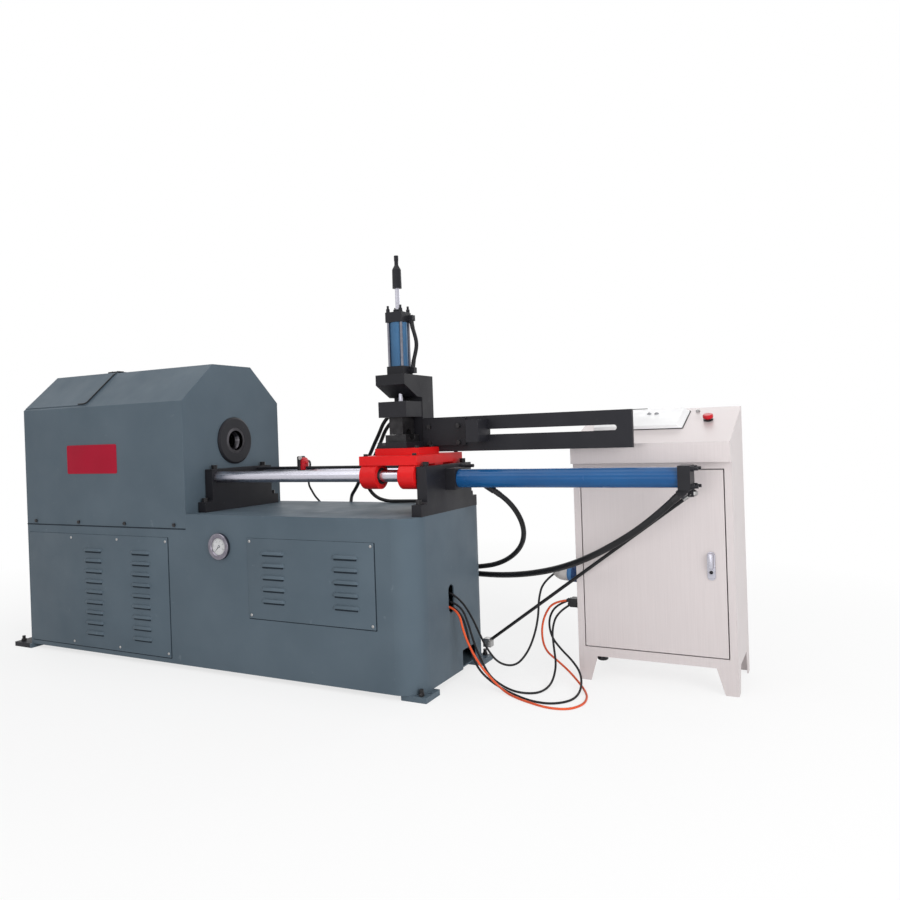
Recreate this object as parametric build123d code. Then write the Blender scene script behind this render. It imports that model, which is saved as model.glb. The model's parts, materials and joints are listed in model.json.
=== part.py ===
from build123d import *
import math
import os

# Tube end forming machine, in millimetres.
# +X runs from the headstock towards the feed cylinder, +Y away from the operator, +Z up.
# The origin lies on the floor, in the middle of the four anchor holes of the base.

# Clearances
RUN = 0.05  # radial gap of a running or seated round fit
SLIDE_GAP = 0.3  # gap of a guided flat fit
FREE_GAP = 0.5  # gap between faces that only pass each other
DOOR_GAP = 4.0  # seam round the cabinet door
CUT = 1.0  # how far a cutting shape runs past a face

# Anchors and feet
ANCHOR_REACH_LEFT = 76.0  # from the left end of the base out to the anchor holes
ANCHOR_REACH_RIGHT = 10.0  # from the right end
ANCHOR_INSET = 70.0  # from the front and back of the base
ANCHOR_RADIUS = 9.0
FOOT_HEIGHT = 22.0
LEFT_FOOT_MARGIN = 42.0  # plate beyond the anchor hole
LEFT_FOOT_TUCK = 12.0  # plate under the base
LEFT_FOOT_DEPTH = 136.0
LEFT_FOOT_PROUD = 12.0  # plate in front of the base
RIGHT_FOOT_MARGIN = 16.0
RIGHT_FOOT_TUCK = 85.0
RIGHT_FOOT_DEPTH = 110.0
RIGHT_FOOT_INSET = 15.0  # plate behind the front of the base
JACK_RADIUS = 8.0
LEFT_JACK_REACH = 90.0  # jack bolt from the left end of the base
LEFT_JACK_INSET = 18.0  # from the front and back of the base
RIGHT_JACK_OFFSET = 18.0  # from the soft corner
RIGHT_JACK_ANGLE = 35.0
JACK_NUT_RADIUS = 12.0
JACK_NUT_HEIGHT = 11.0
JACK_STUD = 15.0  # bolt end above its nut

# Base cabinet and bed
BASE_LENGTH = 2270.0
BASE_DEPTH = 647.0
BED_HEIGHT = 700.0
BASE_WALL = 6.0
BED_THICKNESS = 20.0
END_RADIUS = 100.0  # soft corners of the right end
CABLE_SLOT_WIDTH = 50.0
CABLE_SLOT_HEIGHT = 116.0
CABLE_SLOT_Y = -25.0
CABLE_SLOT_Z = 340.0
NOTCH_WIDTH = 130.0
NOTCH_HEIGHT = 80.0
NOTCH_Y = 128.0

# Louvred covers
COVER_SHEET = 2.0
COVER_LAP = 22.0  # cover beyond its opening
LEFT_COVER_START = 14.0
LEFT_COVER_LENGTH = 972.0
LEFT_COVER_BOTTOM = 46.0
LEFT_COVER_SEAM = 44.0  # top of the cover below the hood's seam
LEFT_LOUVRE_ROWS = 9
LEFT_LOUVRE_SPACING = 322.0
LEFT_LOUVRE_SHIFT = 148.0  # middle of the louvres beyond the middle of the cover
LEFT_LOUVRE_DROP = 11.0
RIGHT_COVER_MARGIN = 177.0  # cover from the right end of the base
RIGHT_COVER_LENGTH = 638.0
RIGHT_COVER_DROP = 95.0  # top of the cover below the bed
RIGHT_COVER_HEIGHT = 340.0
RIGHT_LOUVRE_ROWS = 5
RIGHT_LOUVRE_SPACING = 366.0
LOUVRE_LENGTH = 125.0
LOUVRE_HEIGHT = 18.0
LOUVRE_DEPTH = 7.0
LOUVRE_TAPER = 16.0  # sloping end of a scoop
LOUVRE_PITCH = 50.0

# Pressure gauge
GAUGE_X = 1302.0  # from the left end of the base
GAUGE_DROP = 136.0  # below the bed
GAUGE_RADIUS = 50.0
GAUGE_BEZEL = 6.0
GAUGE_PROUD = 14.0
GAUGE_DEPTH = 34.0
NEEDLE_LENGTH = 36.0
NEEDLE_WIDTH = 3.0
NEEDLE_THICKNESS = 1.5
NEEDLE_PIN_RADIUS = 3.0

# Hood over the headstock
HOOD_LENGTH = 1103.0
HOOD_WALL = 3.0
HOOD_SKIRT = 64.0  # below the bed
HOOD_EAVE = 1208.0
HOOD_HEIGHT = 1383.0
HOOD_TOP_WIDTH = 257.0
LID_LENGTH = 456.0
LID_SHEET = 2.5
LID_LAP = 28.0
LID_INSET = 4.0
LID_EAVE_LIP = 14.0  # lid edge above the eave, along the slope
HINGE_KNUCKLE_RADIUS = 5.0
HINGE_PIN_RADIUS = 2.5
HINGE_KNUCKLE = 20.0
HINGE_SPACING = 260.0
HOOD_BOLT_PITCH = 320.0
HOOD_BOLT_RISE = 14.0
BOLT_HEAD_RADIUS = 9.0
BOLT_HEAD_HEIGHT = 6.0

# Headstock, spindle and drive
SPINDLE_RADIUS = 60.0
SPINDLE_BORE = 40.0
SPINDLE_FLANGE_RADIUS = 75.0
SPINDLE_FLANGE = 12.0
HOUSING_LENGTH = 490.0
HOUSING_FOOT_WIDTH = 420.0
HOUSING_FOOT = 30.0
HOUSING_NECK_WIDTH = 230.0
HOUSING_RADIUS = 130.0
HOUSING_SETBACK = 53.0  # housing front face behind the hood face
BEARING_RADIUS = 85.0
BEARING_WIDTH = 42.0
NOSE_RADIUS = 112.0
NOSE_HUB_RADIUS = 95.0
NOSE_FLANGE = 6.0
NOSE_LIP_RADIUS = 104.0
NOSE_PROUD = 11.0
NOSE_MOUTH_RADIUS = 62.0
DIE_MOUTH_RADIUS = 48.0
DIE_MOUTH_DEPTH = 22.0
DIE_THROAT_RADIUS = 36.0
PULLEY_WIDTH = 70.0
PULLEY_SEAT_RADIUS = 50.0
SPINDLE_PULLEY_RADIUS = 140.0
MOTOR_PULLEY_RADIUS = 75.0
PULLEY_GAP = 12.0  # pulley to housing
GROOVE_COUNT = 3
GROOVE_PITCH = 20.0
GROOVE_WIDTH = 12.0
GROOVE_DEPTH = 12.0
MOTOR_HEIGHT = 330.0
MOTOR_RADIUS = 130.0
MOTOR_LENGTH = 380.0
MOTOR_SHAFT_RADIUS = 19.0
MOTOR_SHAFT_DEPTH = 60.0
MOTOR_STAND_WIDTH = 240.0
MOTOR_FIN_COUNT = 16
MOTOR_FIN_HEIGHT = 12.0
MOTOR_FIN_WIDTH = 6.0

# Oil tank with pump, valves and terminal box
TANK_MARGIN = 170.0  # tank from the right end of the base
TANK_LENGTH = 620.0
TANK_DEPTH = 400.0
TANK_HEIGHT = 300.0
TANK_WALL = 5.0
PUMP_MOTOR_RADIUS = 85.0
PUMP_MOTOR_HEIGHT = 270.0
VALVE_LENGTH = 200.0
VALVE_DEPTH = 140.0
VALVE_HEIGHT = 90.0
VALVE_MARGIN = 44.0
TERMINAL_BOX_DEPTH = 80.0
TERMINAL_BOX_WIDTH = 180.0
TERMINAL_BOX_HEIGHT = 170.0

# Guide rods and their supports
ROD_RADIUS = 25.0
ROD_SPACING = 330.0
ROD_HEIGHT = 856.0
SUPPORT_THICKNESS = 44.0
SUPPORT_SIDE = 37.0  # rod axis to the side of the support
SUPPORT_TOE = 48.0  # foot beyond the side
SUPPORT_FOOT_HEIGHT = 46.0
SUPPORT_RISE = 37.0  # above the rod axis
SUPPORT_BLEND = 8.0
SUPPORT_HOOD_GAP = 5.0
ROD_COVER = 10.0  # tail support behind the ends of the rods
CLAMP_SLIT = 3.0
SUPPORT_BOLT_RADIUS = 8.0
SUPPORT_BOLT_HEAD = 14.0
SUPPORT_BOLT_HEIGHT = 18.0
STOP_ROD_RADIUS = 7.0
STOP_ROD_Y = 105.0
STOP_ROD_DROP = 12.0  # axis below the top of the supports
STOP_ROD_OVERHANG = 60.0
SWITCH_MARGIN = 15.0  # plunger to the carriage at the end of its travel
SWITCH_LENGTH = 28.0
SWITCH_WIDTH = 34.0
SWITCH_HEIGHT = 46.0

# Feed cylinder
FEED_DROP = 22.0  # feed axis below the guide rods
FEED_TUBE_RADIUS = 38.0
FEED_TUBE_WALL = 6.0
FEED_TUBE_LENGTH = 884.0
FEED_END_SIDE = 88.0
FEED_HEAD_LENGTH = 46.0
FEED_CAP_LENGTH = 44.0
FEED_STUD_RADIUS = 6.0
FEED_STUD_SPACING = 64.0
FEED_STUD_LENGTH = 26.0
FEED_NUT_RADIUS = 10.0
FEED_NUT_HEIGHT = 12.0
FEED_ROD_RADIUS = 18.0
FEED_PISTON_LENGTH = 50.0
FEED_PISTON_BACK = 30.0  # piston to cap when drawn back
FEED_TRAVEL = 490.0

# Carriage
BEARING_LENGTH = 74.0
BEARING_SPACING = 180.0
BEARING_HOUSING_RADIUS = 54.0
BEARING_NECK_WIDTH = 60.0
LINER_WALL = 5.0
BEARING_RISE = 44.0  # rod axis to the underside of the plate
REST_GAP = 6.0  # bearing housing to tail support when drawn back
PLATE_OVERHANG = 8.0
PLATE_SIDE = 38.5  # rod axis to the edge of the plate
PLATE_THICKNESS = 38.0
LUG_LENGTH = 40.0
LUG_WIDTH = 70.0
LUG_DROP = 24.0  # below the feed axis
SADDLE_LENGTH = 210.0
SADDLE_FRONT = 108.0
SADDLE_BACK = 166.0
SADDLE_THICKNESS = 28.0
CARRIAGE_BOLT_HEAD = 10.0
CARRIAGE_BOLT_HEIGHT = 9.0
CARRIAGE_BOLT_INSET = 20.0

# Clamp tower
CLAMP_LEFT = 18.0  # frame from the left edge of the carriage plate
FRAME_THICKNESS = 140.0
FRAME_REACH = 85.5  # front of the arms before the tube axis
COLUMN_FRONT = 61.5
COLUMN_DEPTH = 99.0
LOWER_ARM = 24.0
LOWER_DIE_HEIGHT = 32.0
LOWER_DIE_LENGTH = 100.0
LOWER_DIE_WIDTH = 108.0
ARM_HEADROOM = 2.0  # raised slide to the upper arm
ARM_SLANT = 50.0
ARM_TIP_HEIGHT = 43.0
ARM_TAPER = 107.0
TUBE_RADIUS = 24.0
CLAMP_STROKE = 18.0
DIE_GAP = 0.5  # between the closed dies
UPPER_DIE_HEIGHT = 73.5
UPPER_DIE_LENGTH = 64.0
UPPER_DIE_WIDTH = 98.0
SLIDE_LENGTH = 136.0
SLIDE_FRONT = 74.0
SLIDE_HEIGHT = 66.0
TONGUE_WIDTH = 40.0
TONGUE_DEPTH = 18.0
CLAMP_ROD_RADIUS = 10.0
CLAMP_TUBE_WALL = 6.0
CLAMP_TUBE_RADIUS = 38.0
CLAMP_TUBE_LENGTH = 187.0
CLAMP_FOOT_FLANGE = 38.0
CLAMP_TOP_FLANGE = 43.0
CLAMP_GLAND_RADIUS = 20.0
CLAMP_GLAND_HEIGHT = 13.0
CLAMP_PISTON = 30.0
CLAMP_PISTON_TOP = 6.0  # raised piston to the end of the tube
TIE_GAP = 0.8  # tie rod to the tube
TIE_MARGIN = 9.0  # flange beyond the tie rods
TIE_RADIUS = 5.0
TIE_NUT_RADIUS = 9.0
TIE_NUT_HEIGHT = 14.0
TIE_END = 14.0
TIP_LIFT = 92.0  # rod tip above the gland
TIP_RADIUS = 20.0
TIP_BODY = 79.0
TIP_CONE = 20.0
TIP_TAPER = 1.0
TIP_NECK_RADIUS = 8.5
TIP_NECK = 18.0
TIP_HEAD_RADIUS = 9.5
TIP_HEAD = 22.0

# Stop rail
RAIL_LENGTH = 902.0
RAIL_THICKNESS = 20.0
RAIL_BACKSET = 7.0  # rail face behind the front of the column
RAIL_LIFT = 6.0  # rail above the carriage plate
RAIL_RISE = 68.0
RAIL_FOOT = 20.0
RAIL_FOOT_DEPTH = 84.0
RAIL_SLOT_LENGTH = 606.0
RAIL_SLOT_END = 60.0  # slot from the free end of the rail
RAIL_SLOT_HEIGHT = 22.0
RAIL_BRACKET_MARGIN = 32.0  # bracket to the slot
RAIL_BRACKET_THICKNESS = 12.0
RAIL_BRACKET_GAP = 4.0  # above the saddle and below the top of the rail
RAIL_BOLT_SPACING = 70.0
RAIL_BOLT_INSET = 32.0
STOP_LENGTH = 57.0
STOP_HEIGHT = 92.0
STOP_LIFT = 6.0  # middle of the stop above the tube axis
STOP_REACH = 30.0  # stop pad in front of the tube axis
STOP_KNOB_RADIUS = 20.0
STOP_KNOB = 18.0

# Control cabinet
CABINET_LEFT = 1639.0
CABINET_FRONT = 184.5
CABINET_WIDTH = 616.0
CABINET_DEPTH = 350.0
CABINET_SHEET = 3.0
LEG_HEIGHT = 100.0
LEG_TOP = 78.0
LEG_TOE = 48.0
LEG_SHEET = 4.0
CONSOLE_LIP = 30.0
CONSOLE_UNDER = 880.0
CONSOLE_EDGE = 77.0  # height of the lip
CONSOLE_RISE = 136.0  # from the lip to the back
DOOR_SIDE = 32.0  # cabinet edge to door
DOOR_SILL = 40.0  # cabinet floor to door
DOOR_HEAD = 30.0  # door to console
DOOR_DEPTH = 18.0
DOOR_SHEET = 2.0
DOOR_FRAME = 26.0
DOOR_PIN_RADIUS = 4.0
DOOR_PIN_INSET = 8.0
DOOR_PIN_LENGTH = 30.0
HANDLE_X = 53.0  # from the free edge of the door
HANDLE_Z = 486.0
HANDLE_WIDTH = 26.0
HANDLE_HEIGHT = 108.0
HANDLE_PROUD = 22.0
HANDLE_PLATE = 6.0
HANDLE_SPINDLE_RADIUS = 7.0
PANEL_START = 59.0  # from the left of the cabinet
PANEL_LENGTH = 390.0
PANEL_FOOT = 154.0  # along the slope from the lip
PANEL_DEPTH = 206.0
PANEL_HEIGHT = 18.0
PANEL_CORNER = 6.0
LAMP_RADIUS = 6.0
LAMP_HEIGHT = 5.0
LAMP_SPACING = 36.0
LAMP_MARGIN = 72.0  # from the right edge of the panel
ESTOP_X = 507.0
ESTOP_SLOPE = 241.0
ESTOP_RADIUS = 20.0
ESTOP_HEAD = 14.0
ESTOP_STEM_RADIUS = 10.0
ESTOP_TRAVEL = 5.0
ESTOP_COLLAR_RADIUS = 17.0
ESTOP_COLLAR = 6.0
SWITCHGEAR_PLATE = 3.0
SWITCHGEAR_MARGIN = 60.0
SWITCHGEAR_ROWS = 3
SWITCHGEAR_STEP = 10.0  # each row deeper than the one below
PLUG_INSET = 52.0  # from the front of the cabinet
PLUG_Z = 426.0
GLAND_Z = 301.0
SOCKET_SIDE = 62.0
SOCKET_FLANGE = 8.0
PLUG_RING_RADIUS = 30.0
PLUG_RING = 42.0
PLUG_BODY_RADIUS = 27.0
PLUG_TAIL_RADIUS = 12.0
PLUG_BODY = 62.0
GLAND_LENGTH = 52.0
GLAND_WIDTH = 52.0
GLAND_HEIGHT = 40.0

# Hoses and cables
FEED_HOSE_DIAMETER = 22.0
RETURN_HOSE_DIAMETER = 26.0
DRAIN_HOSE_DIAMETER = 14.0
CLAMP_HOSE_DIAMETER = 17.0
CABLE_DIAMETER = 9.0
SWITCH_CABLE_DIAMETER = 10.0
PORT_WALL = 3.0  # fitting round a hose
PORT_GRIP = 6.0  # hose end inside its fitting
STUB_LENGTH = 46.0
DRAIN_PORT = 20.0
DRAIN_PORT_Y = 26.0
DRAIN_PORT_HEIGHT = 28.0
DRAIN_BOSS = 36.0
DRAIN_BOSS_Y = 284.0
DRAIN_BOSS_Z = 82.0
MANIFOLD_MARGIN = 90.0  # from the right end of the base
MANIFOLD_LENGTH = 68.0
MANIFOLD_DEPTH = 96.0
MANIFOLD_BOTTOM = 336.0
MANIFOLD_HEIGHT = 96.0
SWITCH_BOX_START = 248.0
SWITCH_BOX_LENGTH = 40.0
SWITCH_BOX_DEPTH = 44.0
SWITCH_BOX_BOTTOM = 558.0
SWITCH_BOX_HEIGHT = 50.0
BED_PORT_LENGTH = 42.0
BED_PORT_WIDTH = 30.0
BED_PORT_HEIGHT = 32.0
BED_PORT_X = 967.0
BED_PORT_Y = 266.0
HOSE_BOX_START = 370.0
HOSE_BOX_LENGTH = 42.0
HOSE_BOX_DEPTH = 92.0
HOSE_BOX_BOTTOM = 530.0
HOSE_BOX_HEIGHT = 42.0
CLAMP_BOSS = 22.0
CLAMP_BOSS_A = (116.0, 110.0)  # behind and above the tube axis
CLAMP_BOSS_B = (142.0, 82.0)
LOOP_BLOCK = 24.0
LOOP_BLOCK_Y = 22.0
UNDER_GLAND_RADIUS = 27.0
UNDER_GLAND_HEIGHT = 42.0
UNDER_GLAND_X = 82.0  # from the left of the cabinet
UNDER_GLAND_Y = 60.0  # from the front of the cabinet

# Places worked out from the sizes above
ANCHOR_SPACING_X = BASE_LENGTH + ANCHOR_REACH_LEFT + ANCHOR_REACH_RIGHT
ANCHOR_SPACING_Y = BASE_DEPTH - 2 * ANCHOR_INSET
LEFT = -ANCHOR_SPACING_X / 2 + ANCHOR_REACH_LEFT
RIGHT = LEFT + BASE_LENGTH
FRONT = -BASE_DEPTH / 2
BACK = BASE_DEPTH / 2
HOOD_RIGHT = LEFT + HOOD_LENGTH
HOOD_SEAM = BED_HEIGHT - HOOD_SKIRT
LEFT_COVER_HEIGHT = HOOD_SEAM - LEFT_COVER_SEAM - LEFT_COVER_BOTTOM
RIGHT_COVER_START = BASE_LENGTH - RIGHT_COVER_MARGIN - RIGHT_COVER_LENGTH
RIGHT_COVER_BOTTOM = BED_HEIGHT - RIGHT_COVER_DROP - RIGHT_COVER_HEIGHT
GAUGE_Z = BED_HEIGHT - GAUGE_DROP
FLOOR_PLATE = FOOT_HEIGHT + BASE_WALL
HEAD_SUPPORT = (HOOD_RIGHT + SUPPORT_HOOD_GAP, HOOD_RIGHT + SUPPORT_HOOD_GAP + SUPPORT_THICKNESS)
TAIL_SUPPORT = (RIGHT - SUPPORT_THICKNESS, RIGHT)
SUPPORT_TOP = ROD_HEIGHT + SUPPORT_RISE
SUPPORT_WIDTH = ROD_SPACING + 2 * SUPPORT_SIDE
SUPPORT_FOOT_WIDTH = SUPPORT_WIDTH + 2 * SUPPORT_TOE
HOUSING = (HOOD_RIGHT - HOUSING_SETBACK - HOUSING_LENGTH, HOOD_RIGHT - HOUSING_SETBACK)
PULLEY = (HOUSING[0] - PULLEY_GAP - PULLEY_WIDTH, HOUSING[0] - PULLEY_GAP)
PULLEY_MIDDLE = sum(PULLEY) / 2
BEARINGS_RIGHT = TAIL_SUPPORT[0] - REST_GAP
BEARING_STARTS = (
    BEARINGS_RIGHT - BEARING_LENGTH - BEARING_SPACING,
    BEARINGS_RIGHT - BEARING_LENGTH,
)
CARRIAGE = (BEARING_STARTS[0] - PLATE_OVERHANG, BEARINGS_RIGHT + PLATE_OVERHANG)
PLATE_WIDTH = ROD_SPACING + 2 * PLATE_SIDE
PLATE_BOTTOM = ROD_HEIGHT + BEARING_RISE
PLATE_TOP = PLATE_BOTTOM + PLATE_THICKNESS
SADDLE_TOP = PLATE_TOP + SADDLE_THICKNESS
DIE_SEAT = SADDLE_TOP + LOWER_ARM
SPINDLE_HEIGHT = DIE_SEAT + LOWER_DIE_HEIGHT
SWITCH_X = CARRIAGE[0] - FEED_TRAVEL - SWITCH_MARGIN - STOP_ROD_RADIUS - SWITCH_LENGTH
FRAME = (CARRIAGE[0] + CLAMP_LEFT, CARRIAGE[0] + CLAMP_LEFT + FRAME_THICKNESS)
CLAMP_X = sum(FRAME) / 2
UPPER_DIE_BOTTOM = SPINDLE_HEIGHT + DIE_GAP
SLIDE_BOTTOM = UPPER_DIE_BOTTOM + UPPER_DIE_HEIGHT
SLIDE_TOP = SLIDE_BOTTOM + SLIDE_HEIGHT
ARM_ROOT = SLIDE_TOP + CLAMP_STROKE + ARM_HEADROOM
ARM_TIP = ARM_ROOT + ARM_SLANT
ARM_TOP = ARM_TIP + ARM_TIP_HEIGHT
CLAMP_BORE_RADIUS = CLAMP_TUBE_RADIUS - CLAMP_TUBE_WALL
TIE_SPACING = (CLAMP_TUBE_RADIUS + TIE_GAP + TIE_RADIUS) * math.sqrt(2)
CLAMP_FLANGE_SIDE = TIE_SPACING + 2 * TIE_MARGIN
CLAMP_TUBE = (ARM_TOP + CLAMP_FOOT_FLANGE, ARM_TOP + CLAMP_FOOT_FLANGE + CLAMP_TUBE_LENGTH)
CLAMP_TOP = CLAMP_TUBE[1] + CLAMP_TOP_FLANGE
GLAND_TOP = CLAMP_TOP + CLAMP_GLAND_HEIGHT
TIP_BOTTOM = GLAND_TOP + TIP_LIFT
FEED_HEIGHT = ROD_HEIGHT - FEED_DROP
FEED_BORE_RADIUS = FEED_TUBE_RADIUS - FEED_TUBE_WALL
FEED_HEAD = (RIGHT, RIGHT + FEED_HEAD_LENGTH)
FEED_TUBE = (FEED_HEAD[1], FEED_HEAD[1] + FEED_TUBE_LENGTH)
FEED_CAP = (FEED_TUBE[1], FEED_TUBE[1] + FEED_CAP_LENGTH)
RAIL_FACE = COLUMN_FRONT + RAIL_BACKSET
RAIL_BACK = RAIL_FACE + RAIL_THICKNESS
RAIL_Z = (PLATE_TOP + RAIL_LIFT, SPINDLE_HEIGHT + RAIL_RISE)
RAIL_END = FRAME[1] + RAIL_LENGTH
RAIL_SLOT = (RAIL_END - RAIL_SLOT_END - RAIL_SLOT_LENGTH, RAIL_END - RAIL_SLOT_END)
RAIL_BRACKET = (FRAME[1], RAIL_SLOT[0] - RAIL_BRACKET_MARGIN)
CABINET_RIGHT = CABINET_LEFT + CABINET_WIDTH
CABINET_BACK = CABINET_FRONT + CABINET_DEPTH
LIP_FRONT = CABINET_FRONT - CONSOLE_LIP
DOOR = (CABINET_LEFT + DOOR_SIDE, CABINET_RIGHT - DOOR_SIDE)
DOOR_BOTTOM = LEG_HEIGHT + DOOR_SILL
DOOR_TOP = CONSOLE_UNDER - DOOR_HEAD
CONSOLE_FRONT_TOP = CONSOLE_UNDER + CONSOLE_EDGE
CONSOLE_BACK_TOP = CONSOLE_FRONT_TOP + CONSOLE_RISE
PLUG_Y = CABINET_FRONT + PLUG_INSET
CONSOLE = Plane(
    origin=(CABINET_LEFT, LIP_FRONT, CONSOLE_FRONT_TOP),
    x_dir=(1, 0, 0),
    z_dir=Vector(0, CONSOLE_FRONT_TOP - CONSOLE_BACK_TOP, CABINET_BACK - LIP_FRONT),
)
TANK = (RIGHT - TANK_MARGIN - TANK_LENGTH, RIGHT - TANK_MARGIN)
TANK_TOP = FLOOR_PLATE + TANK_HEIGHT
TERMINAL_FACE = TANK[1] + TERMINAL_BOX_DEPTH


# Shapes between limits
def block(x, y, z):
    middle = [sum(limits) / 2 for limits in (x, y, z)]
    sides = [abs(limits[1] - limits[0]) for limits in (x, y, z)]
    return Pos(*middle) * Box(*sides)


def bar_x(x, y, z, radius):
    return Pos(sum(x) / 2, y, z) * Rot(0, 90, 0) * Cylinder(radius, x[1] - x[0])


def bar_y(x, y, z, radius):
    return Pos(x, sum(y) / 2, z) * Rot(90, 0, 0) * Cylinder(radius, y[1] - y[0])


def bar_z(x, y, z, radius):
    return Pos(x, y, sum(z) / 2) * Cylinder(radius, z[1] - z[0])


def hex_z(x, y, z, radius):
    return Pos(x, y, z[0]) * extrude(RegularPolygon(radius, 6), z[1] - z[0])


def prism_x(points, x):
    face = Plane.YZ.offset(x[0]) * Polygon(*points, align=None)
    return extrude(face, x[1] - x[0], dir=(1, 0, 0))


def prism_z(points, z):
    face = Pos(0, 0, z[0]) * Polygon(*points, align=None)
    return extrude(face, z[1] - z[0], dir=(0, 0, 1))


def prism_y(points, y):
    plane = Plane((0, y[1], 0), x_dir=(1, 0, 0), z_dir=(0, -1, 0))
    return extrude(plane * Polygon(*points, align=None), y[1] - y[0], dir=(0, -1, 0))


def turned_x(profile, y, z):
    return Pos(0, y, z) * revolve(Polygon(*profile, align=None), Axis.X)


def turned_z(profile, x, y):
    return Pos(x, y, 0) * revolve(Plane.XZ * Polygon(*profile, align=None), Axis.Z)


def group(solids):
    return Compound([solid for shape in solids for solid in shape.solids()])


# Base cabinet with its bed, floor and foot plates
def foot_plates():
    plates = []
    anchor_x = ANCHOR_SPACING_X / 2
    left_x = (-anchor_x - LEFT_FOOT_MARGIN, LEFT + LEFT_FOOT_TUCK)
    left_edge = BACK + LEFT_FOOT_PROUD
    right_x = (RIGHT - RIGHT_FOOT_TUCK, anchor_x + RIGHT_FOOT_MARGIN)
    right_edge = BACK - RIGHT_FOOT_INSET
    sides = ((-1, left_x, left_edge, LEFT_FOOT_DEPTH), (1, right_x, right_edge, RIGHT_FOOT_DEPTH))
    for side, x, edge, width in sides:
        for depth in (-1, 1):
            y = sorted((depth * edge, depth * (edge - width)))
            plate = block(x, y, (0, FOOT_HEIGHT))
            anchor = (side * anchor_x, depth * ANCHOR_SPACING_Y / 2)
            plate -= bar_z(*anchor, (-CUT, FOOT_HEIGHT + CUT), ANCHOR_RADIUS)
            plate -= bar_z(*jack_place(side, depth), (-CUT, FOOT_HEIGHT + CUT), JACK_RADIUS + RUN)
            plates.append(plate)
    return plates


def jack_place(side, depth):
    """Jack bolts stand clear of the square left corners and of the soft right corners."""
    if side < 0:
        return LEFT - LEFT_JACK_REACH, depth * (BACK - LEFT_JACK_INSET)
    reach = END_RADIUS + RIGHT_JACK_OFFSET
    angle = math.radians(RIGHT_JACK_ANGLE)
    x = RIGHT - END_RADIUS + reach * math.cos(angle)
    return x, depth * (BACK - END_RADIUS + reach * math.sin(angle))


def base_outline():
    sheet = Pos((LEFT + RIGHT) / 2, 0) * Rectangle(BASE_LENGTH, BASE_DEPTH)
    return fillet(sheet.vertices().group_by(Axis.X)[-1], END_RADIUS)


def cover_opening(start, length, bottom, height):
    x = (LEFT + start + COVER_LAP, LEFT + start + length - COVER_LAP)
    z = (bottom + COVER_LAP, bottom + height - COVER_LAP)
    return block(x, (FRONT - BASE_WALL, FRONT + 2 * BASE_WALL), z)


def base_frame():
    outline = base_outline()
    body = extrude(Pos(0, 0, FOOT_HEIGHT) * outline, BED_HEIGHT - FOOT_HEIGHT)
    inside = offset(outline, -BASE_WALL)
    room = extrude(Pos(0, 0, FLOOR_PLATE) * inside, BED_HEIGHT - BED_THICKNESS - FLOOR_PLATE)
    partition = (HOOD_RIGHT, HOOD_RIGHT + BASE_WALL)
    room -= block(partition, (FRONT, BACK), (0, BED_HEIGHT))
    body -= room
    # the hood's skirt sits in a step as deep as its sheet
    skirt = block((LEFT - CUT, HOOD_RIGHT), (FRONT - CUT, BACK + CUT), (HOOD_SEAM, BED_HEIGHT + CUT))
    inner_y = (FRONT + HOOD_WALL, BACK - HOOD_WALL)
    skirt -= block((LEFT + HOOD_WALL, HOOD_RIGHT + CUT), inner_y, (0, HOOD_HEIGHT))
    body -= skirt
    body -= cover_opening(LEFT_COVER_START, LEFT_COVER_LENGTH, LEFT_COVER_BOTTOM, LEFT_COVER_HEIGHT)
    body -= cover_opening(
        RIGHT_COVER_START, RIGHT_COVER_LENGTH, RIGHT_COVER_BOTTOM, RIGHT_COVER_HEIGHT
    )
    gauge_y = (FRONT - BASE_WALL, FRONT + 2 * BASE_WALL)
    body -= bar_y(LEFT + GAUGE_X, gauge_y, GAUGE_Z, GAUGE_RADIUS + RUN)
    slot = SlotOverall(CABLE_SLOT_HEIGHT, CABLE_SLOT_WIDTH, rotation=90)
    slot_plane = Plane.YZ.offset(RIGHT - 2 * BASE_WALL)
    slot_place = Pos(CABLE_SLOT_Y, CABLE_SLOT_Z)
    body -= extrude(slot_plane * slot_place * slot, 3 * BASE_WALL, dir=(1, 0, 0))
    notch_y = (NOTCH_Y - NOTCH_WIDTH / 2, NOTCH_Y + NOTCH_WIDTH / 2)
    notch_x = (RIGHT - 2 * BASE_WALL, RIGHT + BASE_WALL)
    body -= block(notch_x, notch_y, (0, FOOT_HEIGHT + NOTCH_HEIGHT))
    # opening in the bed for the belts
    belt_y = SPINDLE_PULLEY_RADIUS
    belt_z = (BED_HEIGHT - 2 * BED_THICKNESS, BED_HEIGHT + CUT)
    body -= block((PULLEY[0] - PULLEY_GAP, HOUSING[0]), (-belt_y, belt_y), belt_z)
    for plate in foot_plates():
        body += plate
    return body


def hex_bolt_y(x, y, z):
    """Hood bolt: its head stands on the outside face at y, away from the middle."""
    outward = -1 if y < 0 else 1
    head = RegularPolygon(BOLT_HEAD_RADIUS, 6)
    plane = Plane((x, y, z), x_dir=(1, 0, 0), z_dir=(0, outward, 0))
    return extrude(plane * head, BOLT_HEAD_HEIGHT)


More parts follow.
